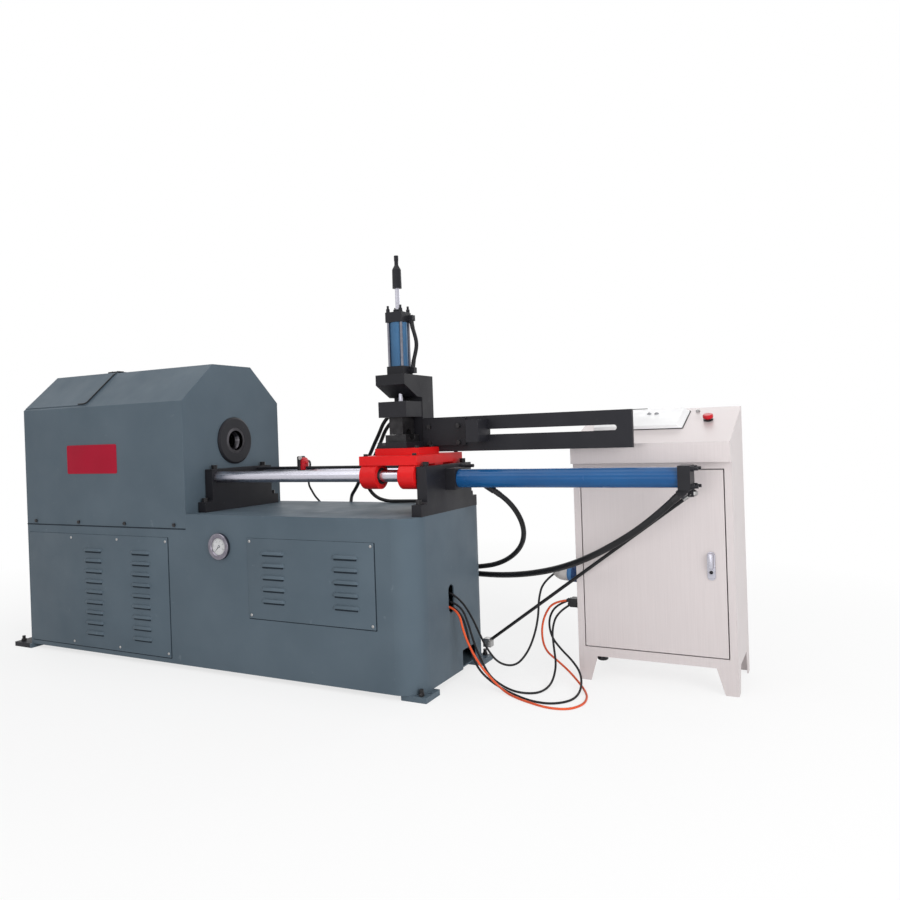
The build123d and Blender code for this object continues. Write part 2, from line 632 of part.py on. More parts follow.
def frame_bolts():
    bolts = []
    for side in (-1, 1):
        for depth in (-1, 1):
            x, y = jack_place(side, depth)
            nut_top = FOOT_HEIGHT + JACK_NUT_HEIGHT
            nut = hex_z(x, y, (FOOT_HEIGHT, nut_top), JACK_NUT_RADIUS)
            bolts.append(nut + bar_z(x, y, (0, nut_top + JACK_STUD), JACK_RADIUS))
    for number in range(4):
        x = LEFT + HOOD_LENGTH / 2 + (number - 1.5) * HOOD_BOLT_PITCH
        bolts += [hex_bolt_y(x, y, HOOD_SEAM + HOOD_BOLT_RISE) for y in (FRONT, BACK)]
    for support in (HEAD_SUPPORT, TAIL_SUPPORT):
        x = sum(support) / 2
        foot_top = BED_HEIGHT + SUPPORT_FOOT_HEIGHT
        for depth in (-1, 1):
            foot_y = depth * (SUPPORT_WIDTH / 2 + SUPPORT_BLEND + SUPPORT_FOOT_WIDTH / 2) / 2
            foot_z = (foot_top, foot_top + SUPPORT_BOLT_HEIGHT)
            bolts.append(hex_z(x, foot_y, foot_z, SUPPORT_BOLT_HEAD))
            top_z = (SUPPORT_TOP, SUPPORT_TOP + SUPPORT_BOLT_HEIGHT)
            bolts.append(hex_z(x, depth * ROD_SPACING / 2, top_z, SUPPORT_BOLT_HEAD))
    return group(bolts)


# Louvred cover: a flat sheet with rows of pressed scoops that open downwards and slope at their ends
def louvre_cover(start, length, bottom, height, spacing, rows, shift=0, drop=0):
    x = (LEFT + start, LEFT + start + length)
    face = FRONT - COVER_SHEET
    sheet = block(x, (face, FRONT), (bottom, bottom + height))
    scoops = []
    slots = []
    for column in (-1, 1):
        middle = sum(x) / 2 + shift + column * spacing / 2
        ends = (middle - LOUVRE_LENGTH / 2, middle + LOUVRE_LENGTH / 2)
        slot_x = (ends[0] + LOUVRE_TAPER, ends[1] - LOUVRE_TAPER)
        for row in range(rows):
            level = bottom + height / 2 - drop + (row - (rows - 1) / 2) * LOUVRE_PITCH
            low = level - LOUVRE_HEIGHT / 2
            top = low + LOUVRE_HEIGHT
            lip = face - LOUVRE_DEPTH
            plan = [(ends[0], face), (slot_x[0], lip), (slot_x[1], lip), (ends[1], face)]
            scoop = prism_x([(face, top), (lip, low), (face, low)], ends) & prism_z(plan, (low, top))
            hollow = [(face, top - 2 * COVER_SHEET), (lip + COVER_SHEET, low), (face, low)]
            scoop -= prism_x(hollow, slot_x)
            scoops.append(scoop)
            slots.append(block(slot_x, (face - CUT, FRONT + CUT), (low, top - 2 * COVER_SHEET)))
    return (sheet + scoops) - slots


def louvre_covers():
    left = louvre_cover(
        LEFT_COVER_START,
        LEFT_COVER_LENGTH,
        LEFT_COVER_BOTTOM,
        LEFT_COVER_HEIGHT,
        LEFT_LOUVRE_SPACING,
        LEFT_LOUVRE_ROWS,
        LEFT_LOUVRE_SHIFT,
        LEFT_LOUVRE_DROP,
    )
    right = louvre_cover(
        RIGHT_COVER_START,
        RIGHT_COVER_LENGTH,
        RIGHT_COVER_BOTTOM,
        RIGHT_COVER_HEIGHT,
        RIGHT_LOUVRE_SPACING,
        RIGHT_LOUVRE_ROWS,
    )
    return group([left, right])


def gauge_case():
    x = LEFT + GAUGE_X
    face = FRONT - GAUGE_PROUD
    bezel = bar_y(x, (face, FRONT), GAUGE_Z, GAUGE_RADIUS + GAUGE_BEZEL)
    case = bezel + bar_y(x, (FRONT, FRONT + GAUGE_DEPTH), GAUGE_Z, GAUGE_RADIUS)
    case -= bar_y(x, (face - CUT, face + GAUGE_PROUD / 2), GAUGE_Z, GAUGE_RADIUS)
    pin = bar_y(x, (face + GAUGE_PROUD / 4, FRONT), GAUGE_Z, NEEDLE_PIN_RADIUS)
    return case + pin


def gauge_needle():
    """Pointer on its pin, resting at the low end of the dial."""
    x = LEFT + GAUGE_X
    plane_y = FRONT - GAUGE_PROUD / 2 - FREE_GAP
    y = (plane_y - NEEDLE_THICKNESS, plane_y)
    hub = bar_y(x, y, GAUGE_Z, 2 * NEEDLE_PIN_RADIUS)
    tip = prism_y(
        [
            (x - NEEDLE_WIDTH, GAUGE_Z),
            (x, GAUGE_Z - NEEDLE_LENGTH),
            (x + NEEDLE_WIDTH, GAUGE_Z),
        ],
        y,
    )
    needle = hub + Pos(x, 0, GAUGE_Z) * Rot(0, 45, 0) * Pos(-x, 0, -GAUGE_Z) * tip
    return needle - bar_y(x, (y[0] - CUT, y[1] + CUT), GAUGE_Z, NEEDLE_PIN_RADIUS + RUN)


# Hood: folded sheet with sloping shoulders, open below
def hood_profile(inset):
    """Half outline of the hood seen from its end, mirrored about the spindle plane."""
    lean = math.atan2(BASE_DEPTH / 2 - HOOD_TOP_WIDTH / 2, HOOD_HEIGHT - HOOD_EAVE)
    side = BACK - inset
    top = HOOD_HEIGHT - inset
    eave = HOOD_EAVE - inset * math.tan(lean / 2)
    flat = HOOD_TOP_WIDTH / 2 - inset * math.tan((math.pi / 2 - lean) / 2)
    return [(-side, eave), (-flat, top), (flat, top), (side, eave)]


def hood_body(inset, x, foot):
    left, *roof, right = hood_profile(inset)
    return prism_x([(left[0], foot), left, *roof, right, (right[0], foot)], x)


def hinge_places():
    middle = LEFT + LID_INSET + LID_LENGTH / 2
    return [middle + side * HINGE_SPACING / 2 for side in (-1, 1)]


def hinge_axis():
    return HOOD_TOP_WIDTH / 2, HOOD_HEIGHT + HINGE_KNUCKLE_RADIUS + FREE_GAP


def knuckle(x):
    y, z = hinge_axis()
    return bar_x(x, y, z, HINGE_KNUCKLE_RADIUS)


def hinge_hole(x):
    y, z = hinge_axis()
    return bar_x((x - 2 * HINGE_KNUCKLE, x + 2 * HINGE_KNUCKLE), y, z, HINGE_PIN_RADIUS + RUN)


def lid_strip(x, sheet_low, sheet_high, back, foot_share):
    """Bent sheet over the front slope and the top, between two heights above the hood."""
    flat = HOOD_TOP_WIDTH / 2
    rise = HOOD_HEIGHT - HOOD_EAVE
    run = BACK - flat
    slope = math.hypot(run, rise)
    normal = (-rise / slope, run / slope)
    foot = (-flat - run * foot_share, HOOD_HEIGHT - rise * foot_share)
    bend = math.tan(math.atan2(rise, run) / 2)
    low = [
        (foot[0] + normal[0] * sheet_low, foot[1] + normal[1] * sheet_low),
        (-flat - bend * sheet_low, HOOD_HEIGHT + sheet_low),
        (back, HOOD_HEIGHT + sheet_low),
    ]
    high = [
        (back, HOOD_HEIGHT + sheet_high),
        (-flat - bend * sheet_high, HOOD_HEIGHT + sheet_high),
        (foot[0] + normal[0] * sheet_high, foot[1] + normal[1] * sheet_high),
    ]
    return prism_x(low + high, x)


def slope_share():
    """Share of the slope that the lid covers, from the top edge down."""
    return 1 - LID_EAVE_LIP / math.hypot(BACK - HOOD_TOP_WIDTH / 2, HOOD_HEIGHT - HOOD_EAVE)


def hood_shell():
    """Folded sheet over the shoulders, closed by two end plates."""
    span = (LEFT + HOOD_WALL, HOOD_RIGHT - HOOD_WALL)
    shell = hood_body(0, span, HOOD_SEAM) - hood_body(HOOD_WALL, span, HOOD_SEAM - CUT)
    left_end = hood_body(0, (LEFT, span[0]), HOOD_SEAM)
    right_end = hood_body(0, (span[1], HOOD_RIGHT), HOOD_SEAM)
    # the right plate stands on the bed
    foot_y = (FRONT + HOOD_WALL, BACK - HOOD_WALL)
    right_x = (span[1] - CUT, HOOD_RIGHT + CUT)
    right_end -= block(right_x, foot_y, (0, BED_HEIGHT))
    right_end -= bar_x(right_x, 0, SPINDLE_HEIGHT, NOSE_HUB_RADIUS + FREE_GAP)
    opening_x = (LEFT + LID_INSET + LID_LAP, LEFT + LID_INSET + LID_LENGTH - LID_LAP)
    opening_back = HOOD_TOP_WIDTH / 2 - LID_LAP
    share = slope_share() - LID_LAP / math.hypot(BACK - HOOD_TOP_WIDTH / 2, HOOD_HEIGHT - HOOD_EAVE)
    shell -= lid_strip(opening_x, -3 * HOOD_WALL, HOOD_WALL, opening_back, share)
    y, z = hinge_axis()
    for place in hinge_places():
        for side in (-1, 1):
            start = place + side * HINGE_KNUCKLE - HINGE_KNUCKLE / 2
            ends = (start, start + HINGE_KNUCKLE)
            web = block(ends, (y, y + HINGE_KNUCKLE_RADIUS), (HOOD_HEIGHT - HOOD_WALL, z))
            web = web & hood_body(-HINGE_KNUCKLE_RADIUS, ends, HOOD_SEAM)
            shell += knuckle(ends) + web
        shell -= hinge_hole(place)
    return group([shell, left_end, right_end])


def hood_lid():
    x = (LEFT + LID_INSET, LEFT + LID_INSET + LID_LENGTH)
    y, z = hinge_axis()
    back = y - HINGE_KNUCKLE_RADIUS - FREE_GAP
    lid = lid_strip(x, FREE_GAP, FREE_GAP + LID_SHEET, back, slope_share())
    for place in hinge_places():
        ends = (place - HINGE_KNUCKLE / 2 + FREE_GAP, place + HINGE_KNUCKLE / 2 - FREE_GAP)
        tab = block(ends, (back - CUT, y), (HOOD_HEIGHT + FREE_GAP, HOOD_HEIGHT + FREE_GAP + LID_SHEET))
        lid += knuckle(ends) + tab
        lid -= hinge_hole(place)
    return lid


def hinge_pins():
    y, z = hinge_axis()
    length = 1.5 * HINGE_KNUCKLE
    pins = [bar_x((x - length, x + length), y, z, HINGE_PIN_RADIUS) for x in hinge_places()]
    x, y = door_axis()
    for z in (DOOR_BOTTOM - DOOR_GAP, DOOR_TOP + DOOR_GAP):
        limits = (z - DOOR_PIN_LENGTH / 2, z + DOOR_PIN_LENGTH / 2)
        pins.append(bar_z(x, y, limits, DOOR_PIN_RADIUS))
    return group(pins)


# Headstock
def headstock_housing():
    half = HOUSING_FOOT_WIDTH / 2
    neck = HOUSING_NECK_WIDTH / 2
    foot = BED_HEIGHT + HOUSING_FOOT
    side = [(half, BED_HEIGHT), (half, foot), (neck, SPINDLE_HEIGHT)]
    outline = side + [(-y, z) for y, z in reversed(side)]
    body = prism_x(outline, HOUSING) + bar_x(HOUSING, 0, SPINDLE_HEIGHT, HOUSING_RADIUS)
    through = (HOUSING[0] - CUT, HOUSING[1] + CUT)
    body -= bar_x(through, 0, SPINDLE_HEIGHT, SPINDLE_RADIUS + BASE_WALL)
    for seat in bearing_seats():
        body -= bar_x(seat, 0, SPINDLE_HEIGHT, BEARING_RADIUS + RUN)
    return body


def bearing_seats():
    first = (HOUSING[0], HOUSING[0] + BEARING_WIDTH)
    second = (HOUSING[1] - BEARING_WIDTH, HOUSING[1])
    return first, second


def spindle_bearings():
    rings = []
    for seat in bearing_seats():
        ring = bar_x(seat, 0, SPINDLE_HEIGHT, BEARING_RADIUS)
        rings.append(ring - bar_x(seat, 0, SPINDLE_HEIGHT, SPINDLE_RADIUS + RUN))
    return group(rings)


def spindle():
    rear = PULLEY[0] - FREE_GAP
    flange = HOUSING[1] + FREE_GAP
    profile = [
        (rear, SPINDLE_BORE),
        (rear, PULLEY_SEAT_RADIUS),
        (PULLEY[1], PULLEY_SEAT_RADIUS),
        (PULLEY[1], SPINDLE_RADIUS),
        (flange, SPINDLE_RADIUS),
        (flange, SPINDLE_FLANGE_RADIUS),
        (flange + SPINDLE_FLANGE, SPINDLE_FLANGE_RADIUS),
        (flange + SPINDLE_FLANGE, SPINDLE_BORE),
    ]
    return turned_x(profile, 0, SPINDLE_HEIGHT)


def forming_head():
    """Polished die: a straight mouth that narrows through a cone to its throat."""
    seat = HOUSING[1] + FREE_GAP + SPINDLE_FLANGE
    shoulder = HOOD_RIGHT - FREE_GAP
    face = HOOD_RIGHT + NOSE_PROUD - 2 * FREE_GAP
    rim = NOSE_MOUTH_RADIUS - FREE_GAP
    profile = [
        (seat, DIE_THROAT_RADIUS),
        (seat, SPINDLE_FLANGE_RADIUS),
        (shoulder, SPINDLE_FLANGE_RADIUS),
        (shoulder, rim),
        (face, rim),
        (face, DIE_MOUTH_RADIUS),
        (face - DIE_MOUTH_DEPTH, DIE_MOUTH_RADIUS),
        (seat + SPINDLE_FLANGE, DIE_THROAT_RADIUS),
    ]
    return turned_x(profile, 0, SPINDLE_HEIGHT)


def nose_ring():
    back = HOUSING[1]
    front = HOOD_RIGHT + NOSE_PROUD
    clear = SPINDLE_FLANGE_RADIUS + 2 * FREE_GAP
    profile = [
        (back, clear),
        (back, NOSE_HUB_RADIUS),
        (HOOD_RIGHT, NOSE_HUB_RADIUS),
        (HOOD_RIGHT, NOSE_RADIUS),
        (HOOD_RIGHT + NOSE_FLANGE, NOSE_RADIUS),
        (front, NOSE_LIP_RADIUS),
        (front, NOSE_MOUTH_RADIUS),
        (HOOD_RIGHT, NOSE_MOUTH_RADIUS),
        (HOOD_RIGHT, clear),
    ]
    return turned_x(profile, 0, SPINDLE_HEIGHT)


def groove_limits():
    middles = [PULLEY_MIDDLE + (n - (GROOVE_COUNT - 1) / 2) * GROOVE_PITCH for n in range(GROOVE_COUNT)]
    return [(x - GROOVE_WIDTH / 2, x + GROOVE_WIDTH / 2) for x in middles]


def pulley(radius, bore, z):
    wheel = bar_x(PULLEY, 0, z, radius)
    for groove in groove_limits():
        wheel -= bar_x(groove, 0, z, radius) - bar_x(groove, 0, z, radius - GROOVE_DEPTH)
    if bore:
        wheel -= bar_x(PULLEY, 0, z, bore)
    return wheel


def spindle_pulley():
    return pulley(SPINDLE_PULLEY_RADIUS, PULLEY_SEAT_RADIUS + RUN, SPINDLE_HEIGHT)


def motor_pulley():
    """Small pulley with its shaft, which turns inside the motor."""
    wheel = pulley(MOTOR_PULLEY_RADIUS, 0, MOTOR_HEIGHT)
    shaft = (PULLEY[1], HOUSING[0] + MOTOR_SHAFT_DEPTH - FREE_GAP)
    return wheel + bar_x(shaft, 0, MOTOR_HEIGHT, MOTOR_SHAFT_RADIUS)


def belt_loop(inset):
    upper = Pos(0, SPINDLE_HEIGHT) * Circle(SPINDLE_PULLEY_RADIUS - inset)
    lower = Pos(0, MOTOR_HEIGHT) * Circle(MOTOR_PULLEY_RADIUS - inset)
    return make_hull(upper.edges() + lower.edges())


def drive_belts():
    loop = belt_loop(2 * FREE_GAP) - belt_loop(GROOVE_DEPTH - FREE_GAP)
    belts = []
    for groove in groove_limits():
        plane = Plane.YZ.offset(groove[0] + FREE_GAP)
        belts.append(extrude(plane * loop, GROOVE_WIDTH - 2 * FREE_GAP, dir=(1, 0, 0)))
    return group(belts)


def main_motor():
    """Foot-mounted motor with cooling fins, on a stand from the floor of the base."""
    x = (HOUSING[0], HOUSING[0] + MOTOR_LENGTH)
    body = bar_x(x, 0, MOTOR_HEIGHT, MOTOR_RADIUS - MOTOR_FIN_HEIGHT)
    fin_x = (x[0] + MOTOR_FIN_HEIGHT, x[1] - MOTOR_FIN_HEIGHT)
    half = MOTOR_FIN_WIDTH / 2
    fin = block(fin_x, (-half, half), (MOTOR_RADIUS - 2 * MOTOR_FIN_HEIGHT, MOTOR_RADIUS))
    for number in range(MOTOR_FIN_COUNT):
        body += Pos(0, 0, MOTOR_HEIGHT) * Rot((number + 0.5) * 360 / MOTOR_FIN_COUNT, 0, 0) * fin
    half_stand = MOTOR_STAND_WIDTH / 2
    stand = [
        (-half_stand, FLOOR_PLATE),
        (half_stand, FLOOR_PLATE),
        (half_stand / 2, MOTOR_HEIGHT - MOTOR_RADIUS / 2),
        (-half_stand / 2, MOTOR_HEIGHT - MOTOR_RADIUS / 2),
    ]
    body += prism_x(stand, fin_x)
    depth = (x[0] - CUT, x[0] + MOTOR_SHAFT_DEPTH)
    return body - bar_x(depth, 0, MOTOR_HEIGHT, MOTOR_SHAFT_RADIUS + RUN)


# Oil tank, pump motor, valve block and the terminal box that the cables come from
def hydraulic_unit():
    """Open tank under a lid that carries the pump motor and the valves."""
    half = TANK_DEPTH / 2
    lid_foot = TANK_TOP - TANK_WALL
    tank = block(TANK, (-half, half), (FLOOR_PLATE, lid_foot))
    room_x = (TANK[0] + TANK_WALL, TANK[1] - TANK_WALL)
    tank -= block(room_x, (TANK_WALL - half, half - TANK_WALL), (FLOOR_PLATE + TANK_WALL, TANK_TOP))
    lid = block(TANK, (-half, half), (lid_foot, TANK_TOP))
    pump_x = TANK[0] + TANK_LENGTH / 4
    pump_z = (TANK_TOP, TANK_TOP + PUMP_MOTOR_HEIGHT)
    pump = bar_z(pump_x, 0, pump_z, PUMP_MOTOR_RADIUS)
    valve_x = (TANK[1] - VALVE_LENGTH - VALVE_MARGIN, TANK[1] - VALVE_MARGIN)
    valve_y = (-VALVE_DEPTH / 2, VALVE_DEPTH / 2)
    valve = block(valve_x, valve_y, (TANK_TOP, TANK_TOP + VALVE_HEIGHT))
    half_box = TERMINAL_BOX_WIDTH / 2
    box_y = (CABLE_SLOT_Y - half_box, CABLE_SLOT_Y + half_box)
    box_z = (CABLE_SLOT_Z - TERMINAL_BOX_HEIGHT / 2, CABLE_SLOT_Z + TERMINAL_BOX_HEIGHT / 2)
    box = block((TANK[1], TERMINAL_FACE), box_y, box_z)
    return group([tank, lid, pump, valve, box])


# Supports with split rod clamps, guide rods and stop rod
def rod_support(x, rod_hole):
    half = SUPPORT_WIDTH / 2
    foot = SUPPORT_FOOT_WIDTH / 2
    step = BED_HEIGHT + SUPPORT_FOOT_HEIGHT
    side = [(foot, BED_HEIGHT), (foot, step), (half + SUPPORT_BLEND, step)]
    side += [(half, step + SUPPORT_BLEND), (half, SUPPORT_TOP)]
    body = prism_x(side + [(-y, z) for y, z in reversed(side)], x)
    through = (x[0] - CUT, x[1] + CUT)
    for depth in (-1, 1):
        y = depth * ROD_SPACING / 2
        body -= bar_x(rod_hole, y, ROD_HEIGHT, ROD_RADIUS + RUN)
        slit = (y - CLAMP_SLIT / 2, y + CLAMP_SLIT / 2)
        body -= block(rod_hole, slit, (ROD_HEIGHT, SUPPORT_TOP + CUT))
    stop_z = SUPPORT_TOP - STOP_ROD_DROP
    body -= bar_x(through, STOP_ROD_Y, stop_z, STOP_ROD_RADIUS + RUN)
    return body


def head_support():
    return rod_support(HEAD_SUPPORT, (HEAD_SUPPORT[0] - CUT, HEAD_SUPPORT[1] + CUT))


def tail_support():
    """The rods end blind in it, and the feed rod passes through it."""
    through = (TAIL_SUPPORT[0] - CUT, TAIL_SUPPORT[1] + CUT)
    hole = bar_x(through, 0, FEED_HEIGHT, FEED_ROD_RADIUS + FREE_GAP)
    return rod_support(TAIL_SUPPORT, (through[0], TAIL_SUPPORT[1] - ROD_COVER)) - hole


def guide_rods():
    x = (HEAD_SUPPORT[0], TAIL_SUPPORT[1] - ROD_COVER)
    return group([bar_x(x, side * ROD_SPACING / 2, ROD_HEIGHT, ROD_RADIUS) for side in (-1, 1)])


def stop_rod():
    x = (HEAD_SUPPORT[0], TAIL_SUPPORT[1] + STOP_ROD_OVERHANG)
    return bar_x(x, STOP_ROD_Y, SUPPORT_TOP - STOP_ROD_DROP, STOP_ROD_RADIUS)


def limit_switch():
    """Switch body clamped on the stop rod, with a round plunger towards the carriage."""
    z = SUPPORT_TOP - STOP_ROD_DROP
    x = (SWITCH_X, SWITCH_X + SWITCH_LENGTH)
    y = (STOP_ROD_Y - SWITCH_WIDTH / 2, STOP_ROD_Y + SWITCH_WIDTH / 2)
    low = z - 2 * STOP_ROD_RADIUS
    body = block(x, y, (low, z + SWITCH_HEIGHT))
    plunger = (x[1], x[1] + STOP_ROD_RADIUS)
    body += bar_x(plunger, STOP_ROD_Y, z + SWITCH_HEIGHT / 2, STOP_ROD_RADIUS)
    return body - bar_x((x[0] - CUT, x[1] + CUT), STOP_ROD_Y, z, STOP_ROD_RADIUS + RUN)


# Feed cylinder
def feed_cylinder_tube():
    tube = bar_x(FEED_TUBE, 0, FEED_HEIGHT, FEED_TUBE_RADIUS)
    return tube - bar_x(FEED_TUBE, 0, FEED_HEIGHT, FEED_BORE_RADIUS)


def feed_cylinder_ends():
    half = FEED_END_SIDE / 2
    z = (FEED_HEIGHT - half, FEED_HEIGHT + half)
    head = block(FEED_HEAD, (-half, half), z)
    through = (FEED_HEAD[0] - CUT, FEED_HEAD[1] + CUT)
    head -= bar_x(through, 0, FEED_HEIGHT, FEED_ROD_RADIUS + RUN)
    cap = block(FEED_CAP, (-half, half), z)
    stud_x = (FEED_CAP[1], FEED_CAP[1] + FEED_STUD_LENGTH)
    nut_x = (FEED_CAP[1], FEED_CAP[1] + FEED_NUT_HEIGHT)
    for side in (-1, 1):
        for level in (-1, 1):
            place = (side * FEED_STUD_SPACING / 2, FEED_HEIGHT + level * FEED_STUD_SPACING / 2)
            cap += bar_x(stud_x, *place, FEED_STUD_RADIUS)
            cap += bar_x(nut_x, *place, FEED_NUT_RADIUS)
    return group([head, cap])


def feed_piston_rod():
    """Rod from the carriage lug, with its piston drawn back to the cap."""
    piston = FEED_CAP[0] - FEED_PISTON_BACK - FEED_PISTON_LENGTH
    rod = bar_x((BEARINGS_RIGHT, piston), 0, FEED_HEIGHT, FEED_ROD_RADIUS)
    head = (piston, piston + FEED_PISTON_LENGTH)
    return rod + bar_x(head, 0, FEED_HEIGHT, FEED_BORE_RADIUS - SLIDE_GAP)


# Carriage
def carriage_plate():
    half = PLATE_WIDTH / 2
    plate = block(CARRIAGE, (-half, half), (PLATE_BOTTOM, PLATE_TOP))
    lug_x = (BEARINGS_RIGHT - LUG_LENGTH, BEARINGS_RIGHT)
    lug_y = (-LUG_WIDTH / 2, LUG_WIDTH / 2)
    return plate + block(lug_x, lug_y, (FEED_HEIGHT - LUG_DROP, PLATE_BOTTOM))


def bearing_places():
    for start in BEARING_STARTS:
        for side in (-1, 1):
            yield (start, start + BEARING_LENGTH), side * ROD_SPACING / 2


def bearing_housings():
    """Round housings, cut flat where they meet the plate."""
    housings = []
    for x, y in bearing_places():
        neck = (y - BEARING_NECK_WIDTH / 2, y + BEARING_NECK_WIDTH / 2)
        housing = bar_x(x, y, ROD_HEIGHT, BEARING_HOUSING_RADIUS)
        housing += block(x, neck, (ROD_HEIGHT, PLATE_BOTTOM))
        above = (PLATE_BOTTOM, PLATE_BOTTOM + BEARING_HOUSING_RADIUS)
        housing -= block(x, (y - BEARING_HOUSING_RADIUS, y + BEARING_HOUSING_RADIUS), above)
        housings.append(housing - bar_x(x, y, ROD_HEIGHT, ROD_RADIUS + LINER_WALL + RUN))
    return group(housings)


def bush_liners():
    liners = []
    for x, y in bearing_places():
        liner = bar_x(x, y, ROD_HEIGHT, ROD_RADIUS + LINER_WALL)
        liners.append(liner - bar_x(x, y, ROD_HEIGHT, ROD_RADIUS + RUN))
    return group(liners)


def saddle_plate():
    """Raised plate under the tower, cut back where the stop rail passes."""
    x = (FRAME[0], FRAME[0] + SADDLE_LENGTH)
    z = (PLATE_TOP, SADDLE_TOP)
    plate = block(x, (-SADDLE_FRONT, SADDLE_BACK), z)
    return plate - block((FRAME[1], x[1] + CUT), (RAIL_FACE - FREE_GAP, SADDLE_BACK + CUT), z)


def carriage_bolts():
    bolts = []
    inset = CARRIAGE_BOLT_INSET
    for x in (CARRIAGE[0] + inset, CARRIAGE[1] - inset):
        for side in (-1, 1):
            y = side * (PLATE_WIDTH / 2 - inset)
            z = (PLATE_TOP, PLATE_TOP + CARRIAGE_BOLT_HEIGHT)
            bolts.append(hex_z(x, y, z, CARRIAGE_BOLT_HEAD))
    face = RAIL_FACE - RAIL_BRACKET_THICKNESS
    for y in (-SADDLE_FRONT + inset, face - inset):
        x = FRAME[0] + SADDLE_LENGTH - inset
        z = (SADDLE_TOP, SADDLE_TOP + CARRIAGE_BOLT_HEIGHT)
        bolts.append(hex_z(x, y, z, CARRIAGE_BOLT_HEAD))
    for x in (RAIL_BRACKET[0] + RAIL_BOLT_INSET, RAIL_BRACKET[1] - RAIL_BOLT_INSET):
        for level in (-1, 1):
            z = sum(RAIL_Z) / 2 + level * RAIL_BOLT_SPACING / 2
            plane = Plane((x, face, z), x_dir=(1, 0, 0), z_dir=(0, -1, 0))
            bolts.append(extrude(plane * RegularPolygon(CARRIAGE_BOLT_HEAD, 6), CARRIAGE_BOLT_HEIGHT))
    return group(bolts)


# Clamp tower
def clamp_frame():
    """C-frame, open to the operator, with a taper under its upper arm and a guide slot."""
    back = COLUMN_FRONT + COLUMN_DEPTH
    outline = [
        (-FRAME_REACH, SADDLE_TOP),
        (back, SADDLE_TOP),
        (back, ARM_TOP),
        (-FRAME_REACH, ARM_TOP),
        (-FRAME_REACH, ARM_TIP),
        (-FRAME_REACH + ARM_TAPER, ARM_ROOT),
        (COLUMN_FRONT, ARM_ROOT),
        (COLUMN_FRONT, DIE_SEAT),
        (-FRAME_REACH, DIE_SEAT),
    ]
    frame = prism_x(outline, FRAME)
    half = TONGUE_WIDTH / 2 + SLIDE_GAP
    guide_y = (COLUMN_FRONT - CUT, COLUMN_FRONT + TONGUE_DEPTH + SLIDE_GAP)
    frame -= block((CLAMP_X - half, CLAMP_X + half), guide_y, (DIE_SEAT, ARM_ROOT))
    boss_x = (FRAME[0] - CLAMP_BOSS, FRAME[0])
    for behind, above in (CLAMP_BOSS_A, CLAMP_BOSS_B):
        boss_radius = CLAMP_HOSE_DIAMETER / 2 + PORT_WALL
        frame += bar_x(boss_x, behind, SPINDLE_HEIGHT + above, boss_radius)
    return frame - bar_z(CLAMP_X, 0, (ARM_ROOT, ARM_TOP + CUT), CLAMP_ROD_RADIUS + FREE_GAP)


def tube_groove():
    x = (CLAMP_X - FRAME_THICKNESS, CLAMP_X + FRAME_THICKNESS)
    return bar_x(x, 0, SPINDLE_HEIGHT, TUBE_RADIUS)


def lower_die():
    x = (CLAMP_X - LOWER_DIE_LENGTH / 2, CLAMP_X + LOWER_DIE_LENGTH / 2)
    y = (-LOWER_DIE_WIDTH / 2, LOWER_DIE_WIDTH / 2)
    return block(x, y, (DIE_SEAT, SPINDLE_HEIGHT)) - tube_groove()


def upper_die():
    x = (CLAMP_X - UPPER_DIE_LENGTH / 2, CLAMP_X + UPPER_DIE_LENGTH / 2)
    y = (-UPPER_DIE_WIDTH / 2, UPPER_DIE_WIDTH / 2)
    return block(x, y, (UPPER_DIE_BOTTOM, SLIDE_BOTTOM)) - tube_groove()


def clamp_slide():
    half = SLIDE_LENGTH / 2
    z = (SLIDE_BOTTOM, SLIDE_TOP)
    back = COLUMN_FRONT - FREE_GAP
    slide = block((CLAMP_X - half, CLAMP_X + half), (-SLIDE_FRONT, back), z)
    tongue_x = (CLAMP_X - TONGUE_WIDTH / 2, CLAMP_X + TONGUE_WIDTH / 2)
    return slide + block(tongue_x, (back, COLUMN_FRONT + TONGUE_DEPTH), z)


def clamp_cylinder_tube():
    tube = bar_z(CLAMP_X, 0, CLAMP_TUBE, CLAMP_TUBE_RADIUS)
    return tube - bar_z(CLAMP_X, 0, CLAMP_TUBE, CLAMP_BORE_RADIUS)


